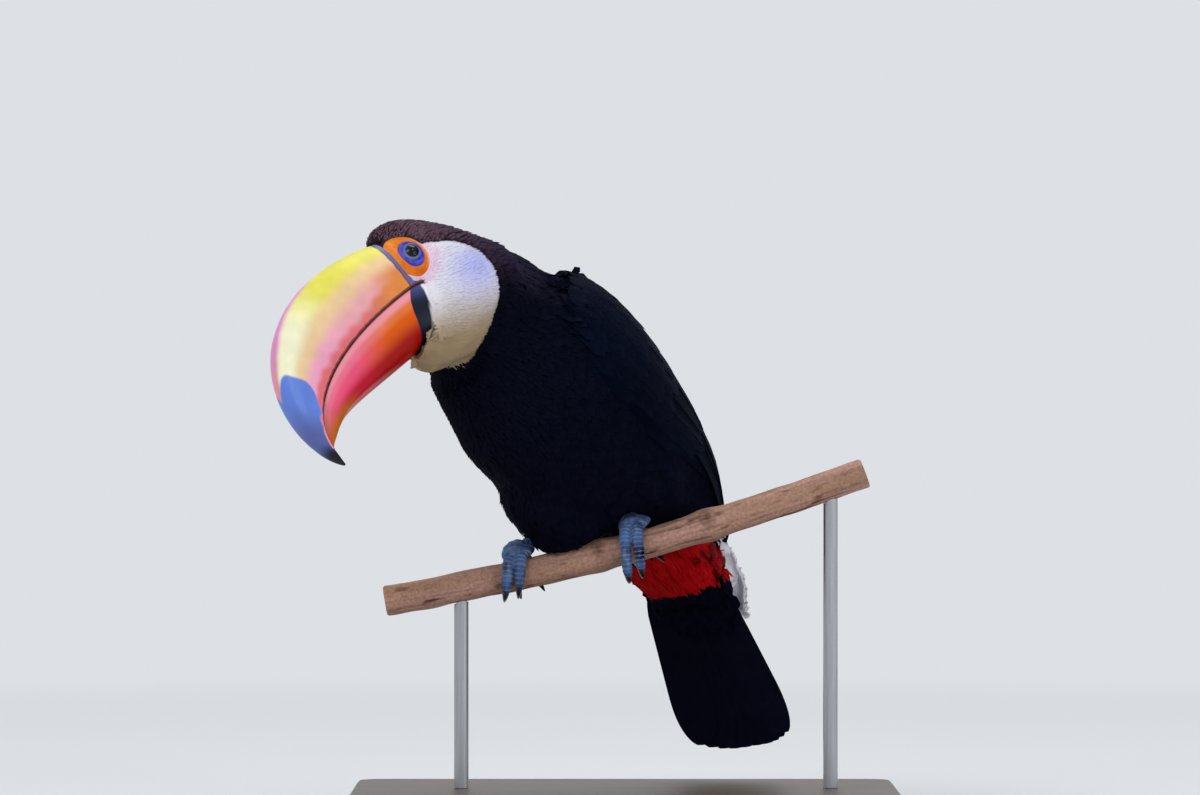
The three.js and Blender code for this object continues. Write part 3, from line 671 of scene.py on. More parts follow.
PLATE = 4.2  # length of the large scales on top of a foot
KNUCKLE = {
    "off": 2.0, "half": 8.8, "deep": 8.5, "inner": 6.9, "outer": 3.2, "lift": 4.4,
    "turn": math.radians(10), "bend": 16,
}


def knuckle(foot):
    """The top of a foot, where its toes meet over the perch, under three large scales."""
    turn = circle(64)
    tilt = np.linspace(0.05, math.pi - 0.05, 48)
    along = np.cos(tilt)[:, None] + 0 * turn
    x = foot["x"] + KNUCKLE["off"] + KNUCKLE["half"] * along
    swell = np.sin(tilt)[:, None]
    depth = KNUCKLE["deep"] * swell * np.sin(turn)
    height = mix(KNUCKLE["inner"], KNUCKLE["outer"], 0.5 + 0.5 * along) * swell * np.cos(turn)
    height = height + scutes(depth + 20, PLATE, 1.0) * swell
    angle = KNUCKLE["turn"] + depth / KNUCKLE["bend"]
    return loft(beside_perch(x, angle, perch_radius(x) + KNUCKLE["lift"] + height))


def foot_solids(foot):
    """The bare leg, the ball of the foot and the toes, with rings of scales."""
    solids = []
    hip, ankle = (np.array(foot[k], float) for k in ("hip", "ankle"))
    x = np.array(foot["x"])
    ball = beside_perch(x, np.array(0.0), perch_radius(x) + LEG["ball"] - 1)
    root = mix(hip, ankle, LEG["root"])
    t = np.linspace(0, 1, 90)
    length = t * np.linalg.norm(ball - root) / LEG["ball_at"]
    swell = LEG["ball"] * np.sqrt(np.maximum(1 - ((t - LEG["ball_at"]) / (1 - LEG["ball_at"])) ** 2, 0.03))
    radii = np.maximum(np.where(t < LEG["ball_at"], LEG["radius"], 0), swell) + scutes(length, 4.2, 0.55)
    path = mix(root, ball, t[:, None] / LEG["ball_at"])
    solids.append(loft(tube(path, radii, np.array([0, 1.0, 0]), 48)))
    solids.append(knuckle(foot))
    for toe in TOES:
        t = np.linspace(0, 1, 110)
        path = toe_route(foot, toe, t)
        length = lengths_along(path)
        turn = circle(TOE["sides"])
        radii = (mix(TOE["radius"], TOE["tip"], t) + 0.35) * np.minimum(1, 0.62 + (1 - t) * 6)
        joints = 0.16 * np.cos(length / length[-1] * 3 * 2 * math.pi)
        radii = (radii + joints + scutes(length, TOE["scute"], 0.5))[:, None]
        rings = tube(path, np.broadcast_to(radii, (len(t), len(turn))), ALONG_PERCH, len(turn))
        inwards = unit(perch_middle(path[:, 0]) - path)
        sole = np.clip(((rings - path[:, None]) * inwards[:, None]).sum(2), 0, None)
        rings = rings - inwards[:, None] * (0.22 * sole)[..., None]
        solids.append(loft(rings))
    return solids


FOOT_BLUE = linear(72, 108, 158)
FOOT_DARK = linear(36, 52, 86)
FOOT_PALE = linear(146, 158, 186)


def foot_colours(points, foot):
    """Blue-grey scales with pale edges, from the nearest toe and the length along it."""
    lines, lengths = [], []
    for toe in TOES:
        path = toe_route(foot, toe, np.linspace(0, 1, 60))
        lines.append(path)
        lengths.append(lengths_along(path))
    lines, lengths = np.vstack(lines), np.concatenate(lengths)
    gap = (lines**2).sum(1) - 2 * points @ lines.T
    phase = (lengths[gap.argmin(1)] / TOE["scute"]) % 1
    angle = np.arctan2(-points[:, 1], points[:, 2] - perch_height(points[:, 0]))
    depth = (angle - KNUCKLE["turn"]) * KNUCKLE["bend"]
    half = (points[:, 0] > foot["x"] + 1) * 0.5
    phase = np.where(np.abs(angle) < math.radians(TOE["start"] + 10), (depth / PLATE + 5 + half) % 1, phase)
    pale = step(0.7, 0.9, phase) * 0.5 + 0.2 * ripple(points, 1.5, 3)
    under = step(-0.2, 0.9, -normal_from_perch(points))
    base = dyed(FOOT_BLUE, FOOT_DARK, 0.5 + 0.5 * ripple(points, 4.0, 9))
    return mix(dyed(base, FOOT_PALE, np.clip(pale, 0, 1)), FOOT_PALE * 0.8, 0.4 * under[:, None])


def normal_from_perch(points):
    """1 on the outside of a toe's ring round the perch and less towards the bark."""
    return (off_bark(points) - TOE["radius"]) / TOE["radius"]


# --- the skin

FLESH = ["head", "neck", "trunk", "thigh_left", "thigh_right"]
TAIL_FLESH = ["undertail_coverts", "uppertail_coverts"]
RED_END = -110.0  # where the red ends, measured back along the tail from its tip
RED_TURN = 68  # degrees from the back at which white gives way to red under the tail


def coat_depth(points):
    """How deep the skin lies under the tips of the feathers."""
    place = to_head(points)
    depth = mix(DEPTH["face"], DEPTH["body"], step(-10, -75, place[:, 0]))
    bare = 1 - step(0.78, 0.98, ellipse_share(place[:, [0, 2]], EYE_SKIN))
    tail_end = 1 - step(0.0, 0.16, along_spine(points) / SPINE_STEPS)
    depth = depth + DEPTH["bare"] * bare * (place[:, 0] > -30) + DEPTH["tail"] * tail_end
    chin = step(-12, -4, place[:, 0]) * step(-54, -62, place[:, 2])
    depth = depth * (1 - DEPTH["less_on_chin"] * chin)
    return mix(DEPTH["perch"], depth, step(2, 12, off_bark(points)))


def closed_over(solids, reach, voxel, rounds):
    """One smooth surface round solids, with the creases narrower than twice the reach filled."""
    points, faces = remeshed(*joined([(p + normals_of(p, f) * reach, f) for p, f in solids]), voxel)
    points = smoothed(points, faces, rounds)
    return points - normals_of(points, faces) * reach, faces


def body_skin():
    points, faces = closed_over([cad_solid(name) for name in FLESH + TAIL_FLESH], 5.0, 1.6, 14)
    return points - normals_of(points, faces) * coat_depth(points)[:, None], faces


def wing_core(side):
    """The wing's own shape drawn in under its feathers."""
    points, faces = closed_over([cad_solid("wing_" + side)], 0.4, 1.3, 8)
    return points - normals_of(points, faces) * 1.1, faces


wing_cores = {side: wing_core(side) for side in FEET}
skin_solid = closed_over([body_skin(), *wing_cores.values()], 3.0, 1.4, 8)
skin_surface = Surface(*skin_solid)
bridged, bridged_faces = closed_over([skin_solid, cad_solid("tail")], 8.0, 2.0, 10)
coat_surface = Surface(smoothed(bridged, bridged_faces, 30), bridged_faces)  # what the long feathers lie on
wing_surfaces = {side: Surface(*solid) for side, solid in wing_cores.items()}
feet = {side: remeshed(*joined(foot_solids(foot)), 0.42) for side, foot in FEET.items()}
foot_surfaces = {side: Surface(*solid) for side, solid in feet.items()}


def turn_from_back(points):
    """Degrees round the body from the middle of the back, 180 on the belly."""
    return np.abs(unwrap(points)[:, 0] - 0.5) / 0.49 * 180


def tail_zone(points):
    """0 on the body, 1 on the red under the tail, 2 on the white over it."""
    share = along_spine(points) / SPINE_STEPS
    turn = turn_from_back(points)
    down_tail = (points - np.array(TAIL["tip"])) @ np.array(TAIL["down"])
    red = (turn > RED_TURN) & (share < mix(0.168, 0.19, step(80, 110, turn))) & (down_tail < RED_END)
    white = (turn <= RED_TURN) & (share < 0.10)
    return np.where(red, 1, np.where(white, 2, 0))


def bill_lines():
    """The ridge point by point, and the edge and keel as functions, in the head's plane of symmetry."""
    share = (np.arange(BILL["steps"]) + 0.5) / BILL["steps"]
    slope = np.radians(mix(BILL["start"], BILL["end"], share ** BILL["tighten"]))
    strides = np.stack([np.cos(slope), np.sin(slope)], 1) * BILL["culmen"] / BILL["steps"]
    ridge = np.vstack([[0, 0], np.cumsum(strides, axis=0)])

    def sweep(start, degrees, reach, hook, end):
        start, end = np.array(start), np.array(end)
        span = np.linalg.norm(end - start)
        angle = math.radians(degrees)
        out = start + reach * span * np.array([math.cos(angle), math.sin(angle)])
        back = end + np.array(hook)

        def at(t):
            t = np.asarray(t)[..., None]
            first = (1 - t) ** 3 * start + 3 * (1 - t) ** 2 * t * out
            return first + 3 * (1 - t) * t**2 * back + t**3 * end

        return at

    edge = sweep(BILL["gape"], BILL["gape_slope"], BILL["edge_reach"], BILL["edge_hook"], ridge[-1])
    lower_tip = edge(BILL["lower_reach"])
    keel = sweep(BILL["chin"], BILL["chin_slope"], BILL["keel_reach"], BILL["keel_hook"], lower_tip)
    return ridge, edge, keel


def bill_width(share):
    even = mix(BILL["wide_at_base"], BILL["wide_at_tip"], share)
    return even * np.maximum(1 - share ** BILL["taper"], 0.0004) ** 0.6


BAND_FRONT = 4.6  # the front of the slate band at the culmen root, and how much it leans back lower down
GAPE_LEAN = 6.1 / 37.5
BAND_WIDE = 2.8
BILL_ROWS = 280
BILL_COLUMNS = 129


def mandible(edge, far, wide, lower):
    """Rings of one mandible from its edges round to its far line and back, and their angles."""
    turn = math.pi / 2 * np.sin(np.linspace(-math.pi / 2, math.pi / 2, BILL_COLUMNS))
    reach = far - edge
    span = np.linalg.norm(reach, axis=1)
    depth = np.maximum(span, BILL["tip_depth"])
    tip_up = np.radians(BILL["end"] + 90)
    up = np.where(span[:, None] > 0.1, unit(reach), [math.cos(tip_up), math.sin(tip_up)])
    pull = np.minimum(BILL["pull"] if lower else 0, 0.3 * depth)
    base = edge + up * (pull - (depth - span) / 2)[:, None]
    across = np.maximum(wide, 0.5)[:, None] * np.sign(turn) * np.abs(np.sin(turn)) ** (2 / BILL["square"])
    rise = depth[:, None] * np.maximum(np.cos(turn), 0) ** (2 / BILL["square"])
    flat = base[:, None] + up[:, None] * rise[..., None]
    bow = BILL["lower_bow"] if lower else 0
    behind = BILL["band"] + bow * np.abs(np.sin(2 * turn))
    back = np.exp(-np.arange(len(edge)) / 5.0)[:, None] * behind
    place = np.stack([flat[..., 0] - back, across, flat[..., 1]], -1)
    return from_head(place.reshape(-1, 3)).reshape(place.shape), turn


# --- feathers


def vane_solids(paths, normals, halves, thick, camber, section):
    """Closed vanes along paths. A section is (across, out) points, as shares of width and thickness."""
    count, stations = paths.shape[:2]
    ahead = unit(np.gradient(paths, axis=1))
    across = unit(np.cross(normals, ahead))
    out = np.cross(ahead, across)
    x, z = np.array(section).T
    inner = slice(1, stations - 1)
    half = halves[:, inner, None]
    lift = z * thick[:, None, None] - camber * x**2 * half
    rings = paths[:, inner, None] + across[:, inner, None] * (x * half)[..., None]
    rings = rings + out[:, inner, None] * lift[..., None]
    sides = len(x)
    rings = rings.reshape(count, -1, 3)
    points = np.concatenate([paths[:, :1], rings, paths[:, -1:]], 1)
    per_vane = points.shape[1]
    k = np.arange(sides)
    nxt = (k + 1) % sides
    base = grid_faces(stations - 2, sides, True)
    faces = [triangles_of(base) + 1]
    faces.append(np.stack([np.zeros(sides, int), nxt + 1, k + 1], 1))
    last = 1 + (stations - 3) * sides
    faces.append(np.stack([np.full(sides, per_vane - 1), k + last, nxt + last], 1))
    faces = np.concatenate(faces)
    return points, faces


def coat_set(paths, normals, halves, thick, camber, section, root_tint, tip_tint, bake_at):
    """Vanes with their colours, the places of their barbs and their places on the bake map."""
    points, faces = vane_solids(paths, normals, halves, thick, camber, section)
    count, per_vane = points.shape[:2]
    stations, sides = paths.shape[1], len(section)
    share = np.linspace(0, 1, stations)
    along = np.concatenate([[0], np.repeat(share[1:-1], sides), [1]])
    x = np.concatenate([[0], np.tile(np.array(section)[:, 0], stations - 2), [0]])
    length = np.linalg.norm(np.diff(paths, axis=1), axis=2).sum(1)
    wide = np.concatenate([halves[:, :1], np.repeat(halves[:, 1:-1], sides, axis=1), halves[:, -1:]], 1)
    tint = mix(root_tint[:, None], tip_tint[:, None], along[None, :, None] ** 1.5)
    barb = np.stack([x * wide, along * length[:, None], np.broadcast_to(length[:, None], wide.shape)], -1)
    patch = np.stack([x * 0.0015, (along - 0.5) * 0.003], -1)
    bake = bake_at[:, None] + patch
    offsets = np.arange(count)[:, None, None] * per_vane
    return {
        "points": points.reshape(-1, 3),
        "faces": (faces + offsets).reshape(-1, 3),
        "tint": tint.reshape(-1, 3),
        "barb": barb.reshape(-1, 3),
        "bake": bake.reshape(-1, 2),
    }


def coat_piece(name, sets, made_of, slot, *replaced):
    """One object from sets of vanes."""
    points, faces = joined([(s["points"], s["faces"]) for s in sets])
    tint, barb, bake = (np.vstack([s[key] for s in sets]) for key in ("tint", "barb", "bake"))
    piece = make_object(name, points, faces, made_of, tint, sharp=50)
    layer = piece.data.attributes.new("barb", "FLOAT_VECTOR", "POINT")
    layer.data.foreach_set("vector", barb.astype(np.float32).ravel())
    add_bake_map(piece.data, bake[faces.ravel()])
    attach(piece, "root")
    if replaced:
        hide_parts(*replaced)
    print("coat", name, len(faces))


LEAF = [(-1, 0), (0, 1), (1, 0), (0, -1)]
HAIR = [(-1, 0), (0, 1), (1, 0)]
QUILL = [
    (-1, 0), (-0.5, 0.8), (-0.06, 1), (0, 2.6), (0.06, 1),
    (0.5, 0.8), (1, 0), (0.5, -0.8), (0, -1.8), (-0.5, -0.8),
]


def width_along(kind, s):
    """Half the width along a vane, as shares of its full half width."""
    if kind == "hair":
        return np.sin(math.pi * np.clip(0.12 + 0.88 * s, 0, 1)) ** 0.7
    if kind == "leaf":
        return np.minimum(1, 0.25 + 2.4 * s) * np.sqrt(np.clip(1 - ((s - 0.55) / 0.5) ** 4, 0, 1))
    tip = np.clip((s - 0.72) / 0.29, 0, 1)
    return np.minimum(1, 0.1 + 3 * s) * np.sqrt(np.clip(1 - tip**2.4, 0, 1))


def lie_of(points, normals):
    """The way the feathers lie: back along the head and down the body to the tail."""
    place = to_head(points)
    i = along_spine(points)
    body = -SPINE_FORWARD[i]
    forward, _, up = HEAD_AXES
    eye_out = place[:, [0, 2]] - np.array(EYE_SKIN["at"])
    near = np.exp(-((np.linalg.norm(eye_out, axis=1) / 24) ** 2))[:, None]
    round_eye = unit(eye_out) @ np.stack([forward, up])
    down = step(-20, -60, place[:, 2])[:, None]
    head = unit(-forward - 0.3 * down * up + 0.8 * near * round_eye)
    blend = step(-22, -62, place[:, 0])[:, None]
    way = mix(head, body, blend)
    way = way - normals * (way * normals).sum(1, keepdims=True)
    return unit(way)


def off_perch(points):
    """Points that come too near the perch's axis, moved out to its bark."""
    x = points[..., 0]
    middle = perch_middle(x)
    far = np.linalg.norm((points - middle) * [1, 1, math.cos(math.atan(PERCH["slope"]))], axis=-1)
    least = perch_radius(x) + 0.9
    return middle + (points - middle) * np.maximum(1, least / np.maximum(far, 0.1))[..., None]


def clear_of_feet(points):
    """True where points aren't in a foot or just in front of it."""
    clear = np.ones(len(points), bool)
    for side, surface in foot_surfaces.items():
        x = np.array(FEET[side]["x"])
        ball = beside_perch(x, np.array(0.0), PERCH["radius"] + 5)
        near = np.flatnonzero(np.linalg.norm(points - ball, axis=1) < 24)
        if len(near) == 0:
            continue
        places, out = surface.drop(points[near])
        clear[near] &= ((points[near] - places) * out).sum(1) > 0.7
    return clear


def evened(paths, normals, rounds):
    """Paths and their normals with the kinks taken out, and both ends left where they are."""
    for _ in range(rounds):
        paths, normals = (
            np.concatenate([a[:, :1], (a[:, :-2] + 2 * a[:, 1:-1] + a[:, 2:]) / 4, a[:, -1:]], 1)
            for a in (paths, normals)
        )
    middle = normals.mean(1, keepdims=True)
    return paths, unit(mix(normals, middle, 0.5))


def unkinked(paths, normals):
    """True for the vanes that neither fold nor stand on edge."""
    ahead = unit(np.gradient(paths, axis=1))
    upright = np.abs((normals * ahead).sum(2)).max(1)
    turn = (normals[:, 1:] * normals[:, :-1]).sum(2).min(1)
    bend = (ahead[:, 1:] * ahead[:, :-1]).sum(2).min(1)
    return (upright < 0.7) & (turn > 0.88) & (bend > 0.75)


def draped(roots, lengths, lift, stations, sway, ground, leave=0.85):
    """Paths that start at the roots and follow the ground along the lie, rising as they go.

    Where the ground turns away from the lie by more than the given share they run straight on.
    """
    places, out = ground.drop(roots)
    way = lie_of(places, out)
    side = np.cross(out, way)
    way = unit(way + side * (random.normal(size=(len(roots), 1)) * sway))
    paths, normals = [places], [out]
    stride = (lengths / (stations - 1))[:, None]
    for _ in range(stations - 1):
        ahead = places + way * stride
        landed, facing = ground.drop(ahead)
        past_end = ((facing * way).sum(1) > leave)[:, None]
        places = np.where(past_end, ahead, landed)
        out = np.where(past_end, out, facing)
        way = unit(way - out * (way * out).sum(1, keepdims=True))
        way = np.where(past_end, way, unit(way + 0.25 * lie_of(places, out)))
        paths.append(places)
        normals.append(out)
    paths, normals = evened(np.stack(paths, 1), np.stack(normals, 1), 2)
    share = np.linspace(0, 1, stations)
    rise = lift[:, None] * share**0.8 - 0.3 * (1 - share) ** 4
    return off_perch(paths + normals * rise[..., None]), normals


def on_wing(points):
    """True for the points of the skin that lie on a wing."""
    found = np.zeros(len(points), bool)
    for surface in wing_surfaces.values():
        places, _ = surface.drop(points)
        found |= np.linalg.norm(points - places, axis=1) < 1.0
    return found


def wing_shares(points):
    """Shares along a folded wing and from its lower to its upper edge, at points of the skin."""
    share = along_spine(points) / (SPINE_STEPS * BODY_SHARE)
    q = (WING["shoulder"] - share) / (WING["shoulder"] - WING["tip"])
    low, high = wing_edges(q)
    return q, (180 - turn_from_back(points) - low) / (high - low)


def wing_edges(q):
    """Degrees from the belly at which a wing's lower and upper edges lie."""
    front = WING["front_rise"] * np.maximum(1 - q / WING["turn"], 0) ** 2
    climb = WING["tip_rise"] * (np.maximum(q - WING["turn"], 0) / (1 - WING["turn"])) ** 1.9
    top = WING["top"] + WING["top_rise"] * np.sin(math.pi / 2 * np.minimum(q * 2, 1))
    return WING["lowest"] + front + climb, top


def plumage(coat, keep, crowded=None):
    """Roots of a part of the coat, spread over the skin."""
    points = skin_surface.scatter(coat["count"])
    points = points[keep(points)]
    spacing = mix(*coat["apart"], step(*coat["thins"], head_distance(points)))
    if crowded:
        spacing = spacing * crowded(points)
    return points[thinned(points, spacing)]


def feather_sizes(coat, roots):
    """Length, width and lift of the feathers at the roots."""
    share = step(*coat["grows"], head_distance(roots))
    return [mix(*coat[key], share) for key in ("length", "width", "lift")]


def tufts(roots, length, width, lift, kind, section, stations, camber=0.1, thick=0.12, sway=0.1,
          shades=0.12, ground=skin_surface):
    """Draped vanes of one kind at the roots."""
    count = len(roots)
    length = length * random.uniform(0.85, 1.15, count)
    lift = lift * random.uniform(0.8, 1.2, count)
    paths, normals = draped(roots, length, lift, stations, sway, ground)
    ok = clear_of_feet(paths[:, -1]) & clear_of_feet(paths[:, stations // 2]) & unkinked(paths, normals)
    paths, normals, roots = paths[ok], normals[ok], roots[ok]
    share = np.linspace(0, 1, stations)
    halves = width_along(kind, share)[None] * (width * random.uniform(0.85, 1.15, count))[ok, None] / 2
    shade = random.uniform(1 - shades, 1 + shades, (len(roots), 1))
    tints = [tint * shade for tint in marking(roots)]
    flat = np.full(len(roots), thick)
    return coat_set(paths, normals, halves, flat, camber, section, *tints, unwrap(roots))


# The coats of feathers: how many roots are tried, how far apart they are, and each size at the start and
# the end of the distance behind the bill over which the coat thins out and its feathers grow.
COATS = {
    "face": {
        "count": 190000, "thins": (5, 40), "grows": (0, 40), "until": 60,
        "apart": (0.78, 0.98), "length": (3.4, 6.0), "width": (0.9, 1.25), "lift": (0.42, 0.5),
    },
    "crown": {
        "count": 120000, "thins": (5, 62), "grows": (0, 62), "until": 66,
        "apart": (0.95, 1.9), "length": (3.6, 9.0), "width": (1.2, 3.0), "lift": (0.6, 1.6),
    },
    "body": {
        "count": 130000, "thins": (66, 120), "grows": (66, 130), "from": 64,
        "apart": (2.0, 3.2), "length": (9.5, 14.0), "width": (3.6, 6.8), "lift": (1.5, 1.9),
    },
}
FINE_TUFTS = {"camber": 0.05, "thick": 0.035, "sway": 0.07, "shades": 0.03}
THROAT_TUFTS = {"camber": 0.03, "thick": 0.03, "sway": 0.05, "shades": 0.03}
# The belly feathers hang lower over the branch: degrees from the back, then shares of the spine.
BELLY = {"turn": (125, 150), "start": (0.17, 0.2), "end": (0.3, 0.36), "longer": 1.5, "lift": 3.0}


def head_distance(points):
    return -to_head(points)[:, 0]


def white_root(points):
    bare, white = face_zones(points)
    return (white > 0.5) & (bare < 0.5) & (head_distance(points) < COATS["face"]["until"])


def crown_root(points):
    bare, white = face_zones(points)
    return (white <= 0.5) & (bare < 0.5) & (head_distance(points) < COATS["crown"]["until"])


def body_root(points):
    chosen = (head_distance(points) >= COATS["body"]["from"]) & (tail_zone(points) == 0)
    q, r = wing_shares(points[chosen])
    rim = (q < 0.13) | (r < 0.05) & (q < 0.6)
    chosen[chosen] = rim | ~on_wing(points[chosen])
    return chosen


def crescent(places):
    """Height, front and rear of the dark crescent at the root of the lower bill."""
    height = np.clip((places[..., 2] - CRESCENT["foot"]) / CRESCENT["tall"], 0, 1)
    bulge = CRESCENT["bulge"] * np.sin(math.pi * np.clip(height * 1.05, 0, 1))
    front = CRESCENT["lean"] * height + CRESCENT["front"] + bulge
    wide = mix(*CRESCENT["wide"], np.sin(math.pi * np.clip(0.12 + 0.8 * height, 0, 1)))
    return height, front, front - wide


def throat_tufts():
    """White tufts on the corner of the mouth, from the crescent back over the seam behind the bill."""
    points, faces = closed_over([cad_solid("head"), cad_solid("bill_lower")], 2.5, 1.2, 4)
    sunk = mix(0.1, 1.0, step(-8.5, -13.5, to_head(points)[:, 0]))
    ground = Surface(points - normals_of(points, faces) * sunk[:, None], faces)
    roots = ground.scatter(60000)
    place = to_head(roots)
    rear = crescent(place)[2]
    roots = roots[(place[:, 0] < rear) & (place[:, 0] > -14) & (place[:, 2] < -38.5) & (place[:, 2] > -72)]
    roots = roots[thinned(roots, np.full(len(roots), 0.5))]
    flat = np.ones(len(roots))
    return tufts(roots, 3.0 * flat, 1.3 * flat, 0.12 * flat, "hair", HAIR, 4, ground=ground,
                 **THROAT_TUFTS)


def face_coat():
    """Fine white feathers of the face and throat, smallest and closest at the bib's edge."""
    roots = plumage(COATS["face"], white_root, lambda points: mix(0.7, 1.0, step(0, 4, bib_edge(points))))
    inside = step(-0.5, 6, bib_edge(roots))
    length, width, lift = feather_sizes(COATS["face"], roots)
    length = length * mix(0.3, 1.0, inside)
    width = width * mix(0.5, 1.0, inside)
    lift = lift * mix(0.3, 1.0, inside)
    made = tufts(roots, length, width, lift, "hair", HAIR, 4, **FINE_TUFTS)
    coat_piece("coat_face", [made, throat_tufts()], white_material, "white_feather")


def crown_coat():
    """Feathers of the crown and nape, which grow longer and wider towards the back."""
    roots = plumage(COATS["crown"], crown_root)
    length, width, lift = feather_sizes(COATS["crown"], roots)
    length = length * mix(1.0, 0.55, step(-5, 0, bib_edge(roots)))
    made = tufts(roots, length, width, lift, "hair", LEAF, 5, sway=0.08)
    coat_piece("coat_crown", [made], crown_material, "crown_feather")


def body_coat():
    """Feathers of the body in a left and a right piece, flat on the back and long on the belly."""
    roots = plumage(COATS["body"], body_root)
    left = (roots - spine_at(0.5)[0]) @ BODY_LEFT > 0
    for name, chosen in (("left", left), ("right", ~left)):
        place = roots[chosen]
        turn = turn_from_back(place)
        share = along_spine(place) / SPINE_STEPS
        flat = mix(0.5, 1.0, step(20, 50, turn))
        belly = step(*BELLY["turn"], turn) * step(*BELLY["start"], share)
        belly = belly * (1 - step(*BELLY["end"], share))
        length, width, lift = feather_sizes(COATS["body"], place)
        length = length * mix(1.0, BELLY["longer"], belly)
        width = width * mix(0.7, 1.0, flat)
        lift = lift * flat + BELLY["lift"] * belly
        made = tufts(place, length, width, lift, "leaf", LEAF, 6, ground=coat_surface)
        coat_piece("coat_body_" + name, [made], black_material, "black_feather")


face_coat()
crown_coat()
body_coat()

# --- wings


def wing_place(q, r, side):
    """Places of a folded wing's outside, from shares along it and from its lower to its upper edge."""
    sign = 1 if side == "left" else -1
    low, high = wing_edges(q)
    angle = sign * np.radians(mix(low, high, r))
    middle, _, left, back = spine_at(mix(WING["shoulder"], WING["tip"], q))
    way = left * np.sin(angle)[..., None] - back * np.cos(angle)[..., None]
    return middle, way


def wing_paths(q, r, side, depth):
    """Paths over the wing's outside through rows of shares, at a depth below its feathers' tops."""
    middle, way = wing_place(np.clip(q, -0.1, 1), np.clip(r, 0, 1), side)
    shape = q.shape
    origins = (middle + way * 120).reshape(-1, 3)
    reach = skin_surface.cast(origins, -way.reshape(-1, 3), 130.0)
    hit = np.isfinite(reach)
    places = origins - way.reshape(-1, 3) * np.where(hit, reach, 70)[:, None]
    places, normals = skin_surface.drop(places)
    facing = (normals * way.reshape(-1, 3)).sum(1) > 0.2
    normals = np.where(facing[:, None], normals, way.reshape(-1, 3))
    places = places + normals * depth.reshape(-1)[:, None]
    return places.reshape(*shape, 3), normals.reshape(*shape, 3)


# name, rows, first and last place of the roots, run of a feather along the wing, its width, how many
# across, the lowest and highest share they cover, how far they drift up the wing
WING_ROWS = [
    ("primary", 1, 0.50, 0.50, 0.50, 15.0, 7, 0.02, 0.34, 0.30),
    ("secondary", 1, 0.44, 0.44, 0.46, 19.0, 8, 0.22, 0.92, -0.02),
    ("greater", 1, 0.40, 0.40, 0.24, 13.0, 12, 0.03, 0.97, 0.0),
    ("median", 2, 0.26, 0.33, 0.17, 10.0, 15, 0.03, 0.97, 0.0),
    ("lesser", 7, 0.04, 0.22, 0.12, 7.5, 19, 0.03, 0.97, 0.0),
]
LONG_RUN = 0.2  # feathers that run further than this have a quill


def wing_feathers(side):
    """Flight feathers and rows of coverts, from the longest and lowest to the shortest on top."""
    sets = []
    for level, (name, rows, first, last, run, width, across, low, high, drift) in enumerate(WING_ROWS):
        kind, section, stations = ("quill", QUILL, 12) if run > LONG_RUN else ("leaf", LEAF, 8)
        for row in range(rows):
            start = mix(last, first, row / max(rows - 1, 1))
            share = np.linspace(0, 1, stations)
            r0 = np.linspace(low, high, across) + (0.5 / across if row % 2 else 0)
            r0 = r0 + random.uniform(-0.15, 0.15, across) / across
            runs = run * random.uniform(0.94, 1.06, across)
            if name == "primary":
                runs = run * np.linspace(0.78, 1.0, across)
            q = start + runs[:, None] * share + random.uniform(-0.008, 0.008, across)[:, None]
            r = r0[:, None] + drift * share[None] ** 1.4 * (1 - r0[:, None])
            depth = 0.7 + 0.25 * level + share[None] * 0.9 - 0.5 * (1 - share[None]) ** 3
            depth = depth + 0.10 * (np.arange(across) % 2)[:, None]
            paths, normals = evened(*wing_paths(q, r, side, depth), 3)
            flat = unkinked(paths, normals)
            paths, normals = paths[flat], normals[flat]
            across = flat.sum()  # the row above has no more feathers than this one kept
            halves = width_along(kind, share)[None] * np.full((across, 1), width / 2)
            halves = halves * random.uniform(0.95, 1.05, (across, 1))
            shade = random.uniform(0.85, 1.2, (across, 1))
            sets.append(coat_set(paths, normals, halves, np.full(across, 0.3), 0.05, section,
                                 WING_BLACK * shade, WING_TIP * shade, unwrap(paths[:, 0])))
    coat_piece("wing_feathers_" + side, sets, quill_material, "black_feather", "wing_" + side)


for side in FEET:
    wing_feathers(side)

# --- tail


# Feathers to each side of the tail: how far out they start and end, how far down the next one lies and how
# wide they are at the root and the tip, each as the middle one's size and what every next one adds.
TAIL_FAN = {
    "a_side": 5, "root": (2.0, 3.0), "tip": (4.5, 5.3), "down": (1.1, 0.62), "wide": (12.6, 0.35),
    "root_wide": 9.0, "above": 23, "arch": 0.0045, "overlap": 0.3, "thick": 0.35,
}


